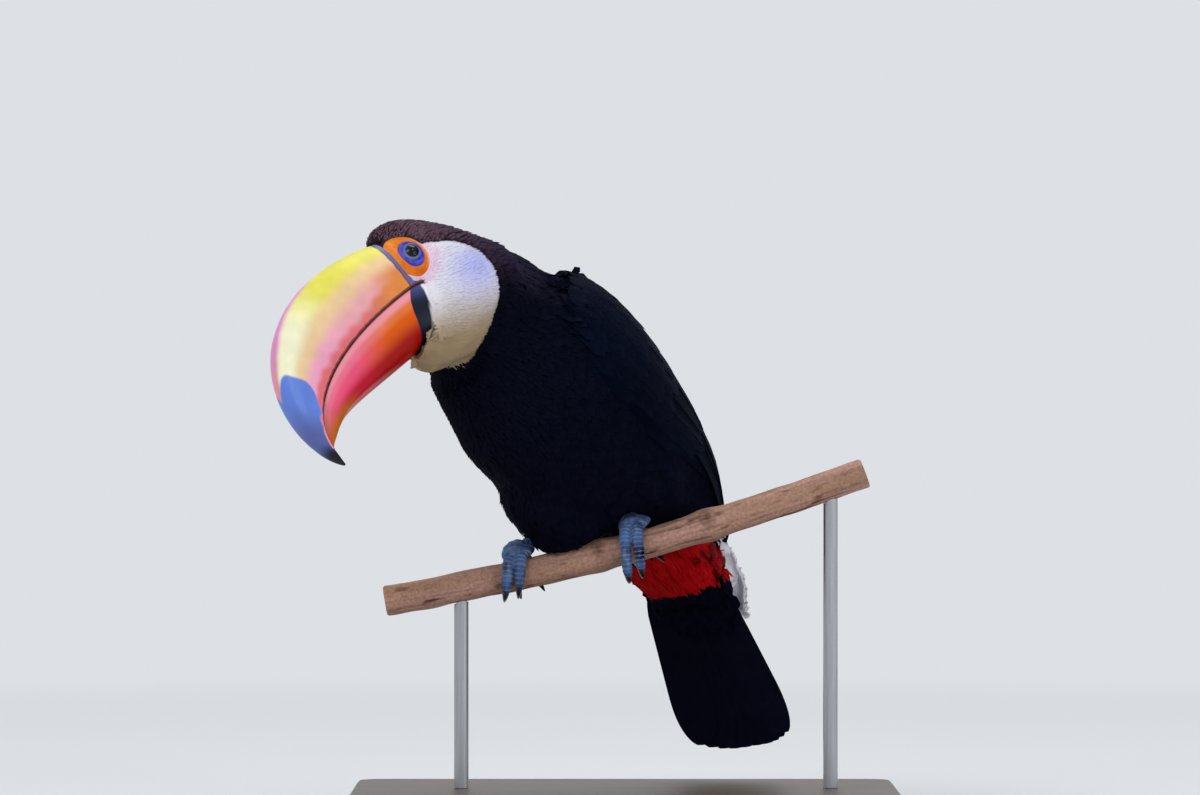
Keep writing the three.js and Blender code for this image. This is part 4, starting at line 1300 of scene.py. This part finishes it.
def tail_feathers():
    """The fan of the tail, each feather a little lower and shorter than the one inside it."""
    tip, down, left = (np.array(TAIL[k], float) for k in ("tip", "down", "left"))
    down, left = unit(down), unit(left)
    back = np.cross(left, down)
    share = 1 - np.linspace(1, 0, 30) ** 1.7
    start = tip - down * (TAIL["length"] + TAIL_FAN["above"] - 1)
    first_root, root_step = TAIL_FAN["root"]
    first_tip, tip_step = TAIL_FAN["tip"]
    top, drop = TAIL_FAN["down"]
    wide, wider = TAIL_FAN["wide"]
    sets = []
    for sign in (1, -1):
        for i in range(TAIL_FAN["a_side"]):
            short = 1.2 + 0.55 * i**1.9
            length = TAIL["length"] + TAIL_FAN["above"] - short
            along = start + down * (share * length)[:, None]
            x = mix(sign * (first_root + root_step * i), sign * (first_tip + tip_step * i), share**0.9)
            overlap = TAIL_FAN["overlap"] if sign > 0 else 0
            level = top - drop * i - TAIL_FAN["arch"] * x**2 + overlap
            path = along + left * x[:, None] + back * level[:, None]
            roll = unit(back + left * (0.05 * sign * (i - 1)))
            normals = np.broadcast_to(roll, path.shape)
            half = width_along("quill", share) * mix(TAIL_FAN["root_wide"], wide + wider * i, share)
            shade = random.uniform(1.6, 2.0)
            sets.append(coat_set(path[None], normals[None], half[None], np.array([TAIL_FAN["thick"]]), 0.03,
                                 QUILL, BLACK[None] * shade, BLACK_TIP[None] * shade, unwrap(path[:1])))
    coat_piece("tail_feathers", sets, quill_material, "black_feather", "tail")


tail_feathers()

# --- coverts of the tail


def tail_coverts():
    """Loose red feathers under the root of the tail and white ones over it."""
    points = skin_surface.scatter(90000)
    points = points[along_spine(points) < 0.2 * SPINE_STEPS]
    zone = tail_zone(points)
    zone[on_wing(points)] = 0
    for number, name, slot, made_of, replaced, spacing, wide, kind in (
        (1, "coat_undertail", "red_feather", red_material, "undertail_coverts", 1.05, 1.5, "hair"),
        (2, "coat_uppertail", "white_feather", white_material, "uppertail_coverts", 1.9, 4.2, "leaf"),
    ):
        roots = points[zone == number]
        roots = roots[thinned(roots, np.full(len(roots), spacing))]
        count = len(roots)
        share = along_spine(roots) / SPINE_STEPS
        length = random.uniform(7, 11, count) * mix(0.5, 1.0, step(0.0, 0.06, share))
        if number == 1:
            pick = random.uniform(0, 1, (count, 1))
            colours = mix(RED_SHADE, RED, np.minimum(1, 3 * pick)), mix(RED, RED_TIP, pick)
        else:
            colours = np.tile(WHITE * 0.9, (count, 1)), np.tile(WHITE, (count, 1))
        lift = random.uniform(0.5, 1.1, count)
        kept = tufts_with(roots, length, np.full(count, wide), lift, colours, kind)
        coat_piece(name, [kept], made_of, slot, replaced)


def tufts_with(roots, length, width, lift, colours, kind):
    """Loose tufts in given colours, without those that would run into a foot."""
    paths, normals = draped(roots, length, lift, 7, 0.05, coat_surface, leave=0.3)
    ok = clear_of_feet(paths[:, -1]) & clear_of_feet(paths[:, 3])
    share = np.linspace(0, 1, 7)
    halves = width_along(kind, share)[None] * width[:, None] / 2
    flat = np.full(ok.sum(), 0.12)
    return coat_set(paths[ok], normals[ok], halves[ok], flat, 0.1, LEAF, colours[0][ok], colours[1][ok],
                    unwrap(roots[ok]))


tail_coverts()

# --- face skin, lids and eyes


# The bare skin as a grid; its stops are the lid's inside, its edge, the ring's end, the rim and the end.
PATCH = {"rows": 64, "columns": 112, "stops": (0.0, 0.08, 0.42, 0.82, 1.0)}
OUTSIDE = 60.0  # how far from the middle of the head rays are sent from
FINE_VIOLET = linear(98, 96, 214)
FINE_ORANGE = linear(224, 112, 20)
LOW_ORANGE = linear(196, 92, 14)
LID_RIM = linear(112, 128, 170)


def grown_ellipse(shape, ring, grow):
    """Points of an ellipse of the head's side view, made larger by a factor."""
    lean = math.radians(shape["lean"])
    x, y = ring[:, 0] * shape["half"][0] * grow, ring[:, 1] * shape["half"][1] * grow
    turned = x * math.cos(lean) - y * math.sin(lean), x * math.sin(lean) + y * math.cos(lean)
    return np.stack(turned, 1) + np.array(shape["at"])


def patch_plan(ring):
    """Places of the bare skin in the side view, row by row out from the eye, its middle and how far
    each place was past the bill's band before it was drawn back."""
    eye = np.array(EYE["at"])
    look = unit(np.array(EYE["look"]))
    opening = (eye + look * math.sqrt(EYE["radius"] ** 2 - EYE["open"] ** 2))[[0, 2]]
    lines = np.stack([
        opening + ring * EYE["open"] * 0.9, opening + ring * EYE["open"],
        grown_ellipse(LID_RING, ring, 1.0), grown_ellipse(EYE_SKIN, ring, 1.0),
        grown_ellipse(EYE_SKIN, ring, 1.16),
    ])
    share = np.linspace(0, 1, PATCH["rows"])
    flat = np.zeros((PATCH["rows"], PATCH["columns"], 2))
    for axis in range(2):
        for k in range(PATCH["columns"]):
            flat[:, k, axis] = np.interp(share, PATCH["stops"], lines[:, k, axis])
    front = BAND_FRONT - BAND_WIDE + GAPE_LEAN * np.clip(flat[..., 1], BILL["gape"][1], 0)
    past = np.maximum(flat[..., 0] - front, 0)
    flat[..., 0] = np.minimum(flat[..., 0], front) + 0.08 * past
    return flat, front, past


def patch_level(flat, sign):
    """How far out the head and bill lie at the places, made even over the seam between them."""
    ground = Surface(*cad_solid("head", "bill_upper"))
    starts = np.stack([flat[..., 0], np.full(flat.shape[:2], sign * OUTSIDE), flat[..., 1]], -1)
    origins = from_head(starts.reshape(-1, 3))
    inwards = np.broadcast_to(-sign * HEAD_AXES[1], origins.shape)
    reach = ground.cast(origins, inwards, 80.0).reshape(flat.shape[:2])
    hit = np.isfinite(reach)
    first = np.where(hit, OUTSIDE - np.where(hit, reach, 0), (OUTSIDE - reach[hit]).min())
    level = first
    for _ in range(40):
        padded = np.vstack([level[:1], level, level[-1:]])
        near = (padded[:-2] + padded[2:] + np.roll(level, 1, 1) + np.roll(level, -1, 1)) / 4
        level = np.where(hit, mix(first, near, 0.7), near)
    return level


def patch_relief(place, in_ring, turn):
    """The lid's crest, the ring's bulge and groove, and the folds of the skin."""
    crest = np.exp(-(((in_ring - 0.13) / 0.05) ** 2)) * 0.55
    bulge = np.sin(math.pi * np.clip((in_ring - 0.08) / 0.36, 0, 1)) * 0.75
    groove = -0.35 * np.exp(-(((in_ring - 0.43) / 0.03) ** 2))
    waves = ripple(place, 3.0, 21).reshape(len(in_ring), len(turn))
    folds = np.cos(in_ring * 2 * math.pi / 0.062 + 1.2 * waves)
    wrinkle = 0.10 * folds * step(0.10, 0.2, in_ring) * (1 - step(0.36, 0.44, in_ring))
    round_eye = np.broadcast_arrays(in_ring * 26, 3 * np.cos(turn), 3 * np.sin(turn))
    loose = ripple(np.stack(round_eye, -1), 1.3, 8)
    return crest, bulge, groove, wrinkle + 0.16 * loose * step(0.44, 0.55, in_ring)


def patch_colours(flat, in_ring, beyond, past):
    """Violet on the ring, orange round it, pink at the back and the coat's own colour at the rim."""
    fine = 0.5 + 0.5 * ripple(flat.reshape(-1, 2), 1.2, 31).reshape(flat.shape[:2])
    colours = dyed(LID_RIM, dyed(VIOLET, FINE_VIOLET, fine), step(0.12, 0.2, in_ring))
    colours = dyed(colours, VIOLET * 0.55, 0.6 * np.exp(-(((in_ring - 0.41) / 0.03) ** 2)))
    colours = dyed(colours, dyed(ORANGE, FINE_ORANGE, fine), step(0.415, 0.45, in_ring))
    low = step(-22, -33, flat[..., 1])
    colours = dyed(colours, LOW_ORANGE, 0.6 * low * step(0.5, 0.6, in_ring))
    behind = step(-14, -21, flat[..., 0]) * step(0.6, 0.84, in_ring)
    colours = dyed(colours, BLUSH, 0.8 * behind)
    return dyed(colours, beyond, step(0.82, 0.86, in_ring) * (past < 0.05))


def face_patch(sign):
    """The bare skin round one eye, from inside the lid out under the feathers, and its colours."""
    turn = circle(PATCH["columns"])
    in_ring = np.linspace(0, 1, PATCH["rows"])[:, None]
    flat, front, past = patch_plan(np.stack([np.cos(turn), np.sin(turn)], 1))
    eye = np.array(EYE["at"])
    depth = EYE["radius"] ** 2 - ((flat - eye[[0, 2]]) ** 2).sum(2)
    ball = eye[1] + np.sqrt(np.maximum(depth, 1.0))
    crest, bulge, groove, wrinkle = patch_relief(flat.reshape(-1, 2), in_ring, turn)
    rest = patch_level(flat, sign) - 0.25 + 0.65 * step(-7, -3, flat[..., 0] - front)
    height = mix(ball + 0.25, rest, step(0.10, 0.38, in_ring)) + crest + bulge + groove + wrinkle
    height = np.where(in_ring < 0.04, ball - 0.8, height)
    height = height - 1.3 * step(0.84, 1.0, in_ring) * (past < 0.05) - 0.5 * np.minimum(past, 4)
    places = from_head(np.stack([flat[..., 0], sign * height, flat[..., 1]], -1).reshape(-1, 3))
    beyond = marking(places)[0].reshape(*flat.shape[:2], 3)
    colours = patch_colours(flat, in_ring, beyond, past)
    faces = grid_faces(PATCH["rows"], PATCH["columns"], True)
    if sign > 0:
        faces = faces[:, ::-1]
    return (places, triangles_of(faces)), colours.reshape(-1, 3)


def eyeball(side, sign):
    """A wet ball: a black pupil in a dark iris, with a thin grey-blue ring at its rim."""
    rows, columns = 48, 64
    look = unit(np.array(EYE["look"]) * [1, sign, 1]) @ HEAD_AXES
    turn = circle(columns)
    tilt = np.linspace(0.0, math.pi, rows)
    across = unit(np.cross(look, [0.3, 0.2, 1.0]))
    upright = np.cross(look, across)
    radius = EYE["radius"] * (1 + 0.035 * np.exp(-((tilt / 0.5) ** 2)))
    centre = from_head(np.array(EYE["at"]) * [1, sign, 1])
    rings = across * np.cos(turn)[:, None] + upright * np.sin(turn)[:, None]
    out, round_it = (radius * np.cos(tilt))[:, None, None], (radius * np.sin(tilt))[:, None, None]
    points = centre + out * look + round_it * rings
    pupil, iris, rim = linear(4, 4, 7), linear(22, 16, 18), linear(100, 116, 166)
    off = EYE["radius"] * np.sin(tilt)
    colours = dyed(pupil, iris, step(2.0, 2.4, off))
    colours = dyed(colours, rim, step(3.45, 3.8, off) * (tilt < 1.2))
    solid = loft(points)
    tint = np.vstack([np.repeat(colours, columns, axis=0), pupil, rim])
    ball = make_object("eyeball_" + side, *solid, eye_material, tint)
    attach(ball, "root")
    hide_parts("eye_" + side)


eye_material = material("eye", 0.1, Specular_IOR_Level=0.12, Coat_Weight=0.25, Coat_Roughness=0.02)
tinted(eye_material, 0.1, 1.0)
face_patches = {side: face_patch(sign) for side, sign in (("left", 1), ("right", -1))}
for side, sign in (("left", 1), ("right", -1)):
    eyeball(side, sign)


def skin_colours(points):
    """The coat's colours on the skin under it."""
    tint, _ = marking(points)
    zone = tail_zone(points)
    zone[on_wing(points)] = 0
    tint[zone == 1] = RED_SHADE
    tint[zone == 2] = WHITE * 0.85
    bare, _ = face_zones(points)
    return dyed(tint, ORANGE, bare * (head_distance(points) < 40))


def whole_skin():
    solids, tints = [skin_solid], [skin_colours(skin_solid[0])]
    for side, (points, faces) in feet.items():
        solids.append((smoothed(points, faces, 1), faces))
        tints.append(foot_colours(points, FEET[side]))
    for patch, colours in face_patches.values():
        solids.append(patch)
        tints.append(colours)
    points, faces = joined(solids)
    skin = make_object("skin", points, faces, skin_material, np.vstack(tints))
    add_bake_map(skin.data, unwrap(points)[faces.ravel()])
    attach(skin, "root")
    toes = [f"toe_{side}_{k + 1}" for side in FEET for k in range(len(TOES))]
    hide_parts(*FLESH, "leg_left", "leg_right", *toes)
    print("skin", len(faces))


whole_skin()

# --- bill


def bill_material(name):
    made = material(name, 0.36, Specular_IOR_Level=0.15, Coat_Weight=0.03, Coat_Roughness=0.15)
    made = tinted(made, 0.05, 9.0, 4.0)
    tree = made.node_tree
    add_bump(made, noise_of(tree, 14.0, 2.0), 0.25, 0.8)
    add_bump(made, noise_of(tree, 0.8, 3.0), 0.08, 0.08)
    return made


def upper_colours(s, a):
    """Colour of the upper mandible by the share along it and the degrees down from its ridge."""
    wobble = 2.5 * ripple(np.stack([s * 9, a / 26], -1), 1.0, 2)
    streaks = ripple(np.stack([s * 46, a / 50], -1), 1.0, 7, 12)
    a = a + wobble + 1.6 * streaks
    yellow, cream = linear(234, 226, 86), linear(250, 248, 210)
    peach, salmon = linear(241, 206, 156), linear(240, 172, 178)
    rose, orange = linear(228, 112, 118), linear(226, 138, 70)
    pink, ridge_highlight = linear(234, 140, 204), linear(243, 236, 196)
    # slate and dark paint the black tip patch bluish: a painted reflection of the sky on black
    slate, dark = linear(100, 134, 220), linear(92, 104, 168)
    main = dyed(yellow, cream, step(0.28, 0.5, s))
    low = dyed(dyed(orange, salmon, step(0.05, 0.22, s)), linear(243, 166, 196), step(0.3, 0.5, s))
    colour = dyed(main, peach, step(48, 66, a))
    colour = dyed(colour, low, step(66, 82, a))
    colour = dyed(colour, dyed(orange, rose, step(0.08, 0.35, s)), step(83, 88.5, a))
    # Along the ridge: a painted highlight in cream near the root, then the bill's pink with a painted blue
    # sheen of the sky.
    ridge = dyed(ridge_highlight, pink, step(0.2, 0.33, s))
    ridge = dyed(ridge, linear(232, 148, 165), step(0.5, 0.68, s))
    ridge_edge = mix(8, 21, step(0.1, 0.4, s)) - 4 * step(0.55, 0.7, s)
    colour = dyed(ridge, colour, step(ridge_edge - 9, ridge_edge + 9, a))
    start = 0.643 + 0.10 * np.clip((42 - a) / 42, 0, 1) ** 1.6 + 0.05 * np.clip((a - 66) / 20, 0, 1) ** 3
    patch = step(start - 0.006, start + 0.006, s + 0.004 * wobble)
    patch = patch * (1 - step(85, 89, a + 6 * step(0.7, 0.95, s) * (s < 0.93)))
    # The tip patch: black under a painted blue reflection of the sky, going black at the very tip.
    tip = dyed(slate, dark, step(0.72, 0.88, s))
    tip = dyed(tip, linear(24, 24, 34), step(0.9, 0.955, s))
    colour = colour * (1 + 0.035 * streaks * step(20, 45, a))[..., None]
    return dyed(colour, tip, patch)


def lower_colours(s, a):
    """Colour of the lower mandible by the share along it and the degrees up from its keel."""
    wobble = 2.0 * ripple(np.stack([s * 9, a / 26], -1), 1.0, 12)
    a = a + wobble
    base, red = linear(228, 92, 4), linear(176, 10, 4)
    crimson, pink = linear(206, 8, 44), linear(244, 84, 124)
    rose = linear(244, 152, 164)
    orange_tip = linear(206, 104, 28)
    # Towards the keel the reds are partly the bill's own red and partly painted shade of its underside.
    low = dyed(red, crimson, step(0.2, 0.45, s))
    mid = dyed(base, pink, step(0.2, 0.5, s))
    colour = dyed(low, mid, step(32, 68, a))
    colour = dyed(colour, dyed(linear(232, 122, 60), linear(240, 118, 146), step(0.15, 0.5, s)),
                 step(68, 80, a))
    colour = dyed(colour, rose, step(81, 88, a))
    end = step(0.7, 0.97, s + 0.25 * (1 - step(20, 70, a)))
    return dyed(colour, orange_tip, end)


def bill_piece(name, rings, colours, made_of, replaced):
    solid = loft(rings)
    tint = colours.reshape(-1, 3)
    tint = np.vstack([tint, tint[0], tint[-1]])
    piece = make_object(name, *solid, made_of, tint, sharp=60)
    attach(piece, "root")
    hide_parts(replaced)


def grown(rings, lines):
    """Rings with low growth lines, and the normals that they rise along."""
    normals = grid_normals(rings)
    return rings + normals * lines[..., None], normals


def places_of(rings):
    return to_head(rings.reshape(-1, 3)).reshape(rings.shape)


def upper_bill(t, s, ends):
    """The upper mandible with its growth lines, toothed edge and dark band, painted slate-blue as a
    reflection of the sky.
    """
    ridge, edge, _ = bill_lines()
    fine = spline(ridge, 2001)
    top = np.stack([np.interp(t, np.linspace(0, 1, len(fine)), fine[:, k]) for k in (0, 1)], 1)
    rings, turn = mandible(edge(t), top, bill_width(t), lower=False)
    degrees = np.degrees(np.abs(turn))[None] + 0 * t[:, None]
    lines = 0.10 * ripple(np.stack([s * 4, degrees / 5], -1), 1.0, 4)
    lines = lines + 0.06 * ripple(np.stack([s * 60, degrees / 30], -1), 1.0, 6)
    rings, normals = grown(rings, lines * ends)
    teeth = 0.22 * np.abs(np.sin(t * 70 + 1.5 * np.sin(t * 23))) ** 3
    teeth = teeth * step(0.05, 0.15, t) * (1 - step(0.85, 0.93, t))
    serrated = step(84, 90, degrees) * teeth[:, None]
    down = unit(edge(t) - top)
    down = np.stack([down[:, 0], 0 * t, down[:, 1]], 1)[:, None]
    rings = rings + (serrated[..., None] * down) @ HEAD_AXES
    place = places_of(rings)
    front = BAND_FRONT + GAPE_LEAN * place[..., 2] + 0.2 * ripple(rings, 2.5, 14)
    under_skin = step(0.3, 2.3, front - BAND_WIDE - place[..., 0]) * (place[..., 2] > -36)
    rings = rings - normals * (1.7 * under_skin)[..., None]
    behind = place[..., 0] - front
    # Behind the band's front: the black band with a painted blue reflection of the sky.
    colours = dyed(upper_colours(s, degrees), BAND_WITH_SKY_REFLECTION, 1 - step(-0.15, 0.15, behind))
    colours = dyed(colours, BAND_LINE, 0.85 * np.exp(-((behind / 0.35) ** 2)))
    colours = dyed(colours, UPPER_EDGE, step(89.35, 89.8, degrees) * 0.9)
    bill_piece("bill_top", rings, colours, bill_material("upper_bill"), "bill_upper")


def lower_bill(t, s, ends):
    """The lower mandible with the crescent at its root and the throat's colour behind that."""
    _, edge, keel = bill_lines()
    share = BILL["lower_reach"] * t
    wide = BILL["lower_wide"] * np.sqrt(np.maximum(1 - t ** BILL["lower_taper"], 0)) * bill_width(share)
    rings, turn = mandible(edge(share), keel(share), wide, lower=True)
    degrees = np.degrees(np.abs(turn))[None] + 0 * t[:, None]
    lines = 0.10 * ripple(np.stack([s * 4, degrees / 5], -1), 1.0, 24)
    rings, _ = grown(rings, lines * ends)
    place = places_of(rings)
    height, front, rear = crescent(place)
    front = front + 0.25 * ripple(rings, 2.5, 15)
    # dark band below, with a painted blue reflection of the sky towards the crescent's top
    blue = dyed(CRESCENT_DARK, CRESCENT_SKY_REFLECTION, step(0.55, 1.0, height))
    colours = dyed(lower_colours(s, degrees), blue, 1 - step(-0.2, 0.2, place[..., 0] - front))
    throat = marking(rings.reshape(-1, 3))[0].reshape(rings.shape)
    colours = dyed(colours, throat, 1 - step(-0.3, 0.3, place[..., 0] - rear))
    colours = dyed(colours, LOWER_EDGE, step(89.4, 89.85, degrees) * 0.7)
    bill_piece("bill_bottom", rings, colours, bill_material("lower_bill"), "bill_lower")


def grid_normals(rings):
    du = np.gradient(rings, axis=0)
    dv = np.gradient(rings, axis=1)
    normals = unit(np.cross(du, dv))
    middle = rings.mean(axis=1, keepdims=True)
    outwards = ((rings - middle) * normals).sum()
    return normals if outwards > 0 else -normals


along_bill = np.linspace(0, 1, BILL_ROWS) ** 1.15
bill_share = along_bill[:, None] + np.zeros(BILL_COLUMNS)
root_and_tip = step(0, 0.05, bill_share) * (1 - step(0.93, 1.0, bill_share))
upper_bill(along_bill, bill_share, root_and_tip)
lower_bill(along_bill, bill_share, root_and_tip)

# --- claws

claw_material = tinted(material("claw", 0.32), 0.2, 1.5)


def claws(side):
    foot = FEET[side]
    solids, tints = [], []
    for toe in TOES:
        a, b, c = toe_route(foot, toe, np.array([0.95, 0.9, 1.0]))
        ahead = unit(c - b)
        inwards = unit(perch_middle(a[0]) - a)
        t = np.linspace(-0.12, 1, 36)
        path = a + ahead * (CLAW["length"] * t)[:, None] + inwards * (CLAW["hook"] * t * np.abs(t))[:, None]
        out = np.maximum(t, 0)
        radii = CLAW["radius"] * (1 - out) ** 0.7 + CLAW["point"] * (1 - 0.6 * out)
        solids.append(loft(tube(path, radii, ALONG_PERCH, CLAW["sides"])))
        dark = dyed(linear(52, 54, 64), linear(14, 14, 18), step(0.0, 0.5, t))
        tints.append(np.vstack([np.repeat(dark, CLAW["sides"], axis=0), dark[0], dark[-1]]))
    points, faces = joined(solids)
    piece = make_object("claws_" + side, points, faces, claw_material, np.vstack(tints))
    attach(piece, "root")
    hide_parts(*[f"claw_{side}_{k + 1}" for k in range(len(TOES))])


for side in FEET:
    claws(side)

# --- perch


def build_perch():
    rows, columns = 460, 84
    x = np.linspace(-PERCH["half"], PERCH["half"], rows)
    turn = circle(columns)
    grid_x = x[:, None] + 0 * turn
    ring = np.stack([grid_x / 9, 2.2 * np.cos(turn) + 0 * grid_x, 2.2 * np.sin(turn) + 0 * grid_x], -1)
    lumps = 0.35 * ripple(ring, 1.4, 41) + 0.16 * ripple(ring * [3, 2, 2], 1.0, 42)
    ridges = 0.16 * ripple(ring * [0.7, 5, 5], 1.0, 43, 12)
    cracks = -0.45 * step(0.9, 1.4, ripple(ring * [0.9, 5.5, 5.5], 1.0, 44, 12))
    knots = sum(np.exp(-(((grid_x - at) / (spread * 0.55)) ** 2)) for at, _, spread in KNOTS)
    front = np.maximum(np.cos(turn - 1.0), 0) ** 3
    eyes = knots * front
    bark = lumps + ridges + cracks + 0.5 * eyes * np.cos(9 * eyes)
    radius = perch_radius(grid_x) + bark - 0.25
    radius = radius - 0.8 * step(PERCH["half"] - 0.9, PERCH["half"], np.abs(grid_x))
    rings = beside_perch(grid_x, turn[None] + 0 * grid_x, radius)
    points, faces = loft(rings)
    tan, brown, pink = linear(168, 130, 108), linear(84, 54, 42), linear(184, 142, 126)
    tone = dyed(tan, pink, 0.5 + 0.5 * ripple(ring * [0.8, 2.5, 2.5], 1.2, 45))
    scars = step(0.7, 1.4, ripple(ring * [2.6, 3.4, 3.4], 1.0, 46, 12))
    streaks = step(0.2, 1.5, ripple(ring * [0.5, 7, 7], 1.0, 47, 12))
    dark = 0.6 * scars + 0.35 * streaks + 0.6 * eyes - 0.8 * cracks
    tone = dyed(tone, brown, np.clip(dark, 0, 1))
    tint = np.vstack([tone.reshape(-1, 3), linear(196, 168, 128), linear(196, 168, 128)])
    piece = make_object("perch_bark", points, faces, bark_material, tint, sharp=60)
    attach(piece, "root")
    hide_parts("perch")


bark_material = tinted(material("bark", 0.8, Specular_IOR_Level=0.25), 0.3, 1.6, 6.0)
add_bump(bark_material, noise_of(bark_material.node_tree, 1.6, 6.0, 0.65, (0.4, 1.0, 1.0)), 0.7, 0.6)
build_perch()

# --- stand


def stand_material(name, roughness, grain, dark, light, bump, **settings):
    """A grained surface that runs between two colours."""
    made = material(name, roughness, **settings)
    tree = made.node_tree
    height = noise_of(tree, *grain["noise"])
    factor = ramp(tree, height, *grain["range"], 0, 1) if "range" in grain else height
    set_shader(made, "Base Color", blended(tree, factor, dark, light))
    add_bump(made, height, *bump)
    return made


WOOD_GRAIN = {"noise": (7.0, 5.0, 0.6, (0.08, 1.0, 1.0)), "range": (0.35, 0.65)}
BRUSHED = {"noise": (1.2, 3.0, 0.5, (1.0, 1.0, 0.03))}
wood_material = stand_material("stand_wood", 0.42, WOOD_GRAIN, linear(46, 32, 24), linear(84, 60, 44),
                               (0.15, 0.2))
steel_material = stand_material("stand_steel", 0.34, BRUSHED, linear(150, 152, 156), linear(186, 188, 192),
                                (0.1, 0.05), Metallic=1.0)
for name, made_of, angle in (
    ("stand_base", wood_material, 30),
    ("stand_rod_left", steel_material, 40),
    ("stand_rod_right", steel_material, 40),
):
    part = NODES[name]
    part.data.materials.clear()
    part.data.materials.append(made_of)
    part.data.polygons.foreach_set("use_smooth", np.ones(len(part.data.polygons), bool))
    part.data.set_sharp_from_angle(angle=math.radians(angle))

# --- studio

AIR = (0.72, 0.75, 0.78)  # the colour of the backdrop, as linear values


def area_light(name, place, aim, size, power, colour=(1, 1, 1)):
    lamp = bpy.data.lights.new(name, "AREA")
    lamp.shape = "DISK"
    lamp.size = size
    lamp.energy = power
    lamp.color = colour
    made = bpy.data.objects.new(name, lamp)
    made.location = place
    made.rotation_euler = (Vector(aim) - Vector(place)).to_track_quat("-Z", "Y").to_euler()
    bpy.context.scene.collection.objects.link(made)


def seen_directly(tree):
    """1 for what the camera sees, also in metal or through glass, and 0 for what only lights."""
    path = node(tree, "LightPath").outputs
    seen = maths(tree, "MAXIMUM", path["Is Camera Ray"], path["Is Glossy Ray"])
    return maths(tree, "MAXIMUM", seen, path["Is Transmission Ray"])


def shown_as_air(tree, share, shader, glow):
    """The shader's own light, or the backdrop's even colour by the share, at the tree's output."""
    glow.inputs["Color"].default_value = (*AIR, 1)
    return node(tree, "MixShader", share, shader.outputs[0], glow.outputs[0]).outputs[0]


def paper():
    """The pale floor: real near the stand, and fading into the air of the studio further off."""
    made = material("studio_floor", 0.9)
    tree = made.node_tree
    grey = blended(tree, noise_of(tree, 300.0), (0.76, 0.77, 0.78), (0.80, 0.81, 0.82))
    set_shader(made, "Base Color", grey)
    place = node(tree, "TexCoord").outputs["Object"]
    far = node(tree, "VectorMath", place, operation="LENGTH").outputs["Value"]
    fade = maths(tree, "MULTIPLY", ramp(tree, far, 0.45, 1.9, 0, 1), seen_directly(tree))
    out = shown_as_air(tree, fade, tree.nodes["Principled BSDF"], node(tree, "Emission", Strength=1.0))
    tree.links.new(out, tree.nodes["Material Output"].inputs["Surface"])
    return made


def studio():
    """A pale floor, even pale air, and soft lamps."""
    turn = circle(96)
    rim = np.stack([np.cos(turn), np.sin(turn), 0 * turn], 1) * 9000
    points = np.vstack([rim, [[0, 0, 0]]]) - [0, 0, 0.05]
    k = np.arange(96)
    faces = np.stack([k, (k + 1) % 96, np.full(96, 96)], 1)
    make_object("studio_floor", points, faces, paper())
    middle = (-0.05, -0.03, 0.2)
    area_light("key", (-1.3, -1.7, 2.0), middle, 1.5, 28)
    area_light("fill", (1.8, -1.6, 0.9), middle, 1.8, 12)
    area_light("top", (0.2, 0.9, 2.1), middle, 1.3, 18)
    world = bpy.data.worlds.new("studio_air")
    world.use_nodes = True
    tree = world.node_tree
    light = tree.nodes["Background"]
    light.inputs["Color"].default_value = (0.9, 0.94, 1.0, 1)
    light.inputs["Strength"].default_value = 0.42
    out = shown_as_air(tree, seen_directly(tree), light, node(tree, "Background", Strength=1.0))
    tree.links.new(out, tree.nodes["World Output"].inputs["Surface"])
    bpy.context.scene.world = world
    bpy.context.scene.view_settings.view_transform = "Standard"


CAMERA = {"off": 4.0, "across": -0.01375, "height": 0.2269, "frame": 0.66, "sensor": 36}  # in metres and mm


def camera():
    """A long lens four metres off, level with the middle of the bird."""
    lens = bpy.data.cameras.new("camera")
    lens.sensor_width = CAMERA["sensor"]
    lens.lens = CAMERA["sensor"] * CAMERA["off"] / CAMERA["frame"]
    lens.clip_end = 30
    made = bpy.data.objects.new("camera", lens)
    made.location = (CAMERA["across"], -CAMERA["off"], CAMERA["height"])
    made.rotation_euler = (math.pi / 2, 0, 0)
    bpy.context.scene.collection.objects.link(made)
    bpy.context.scene.camera = made


camera()
studio()
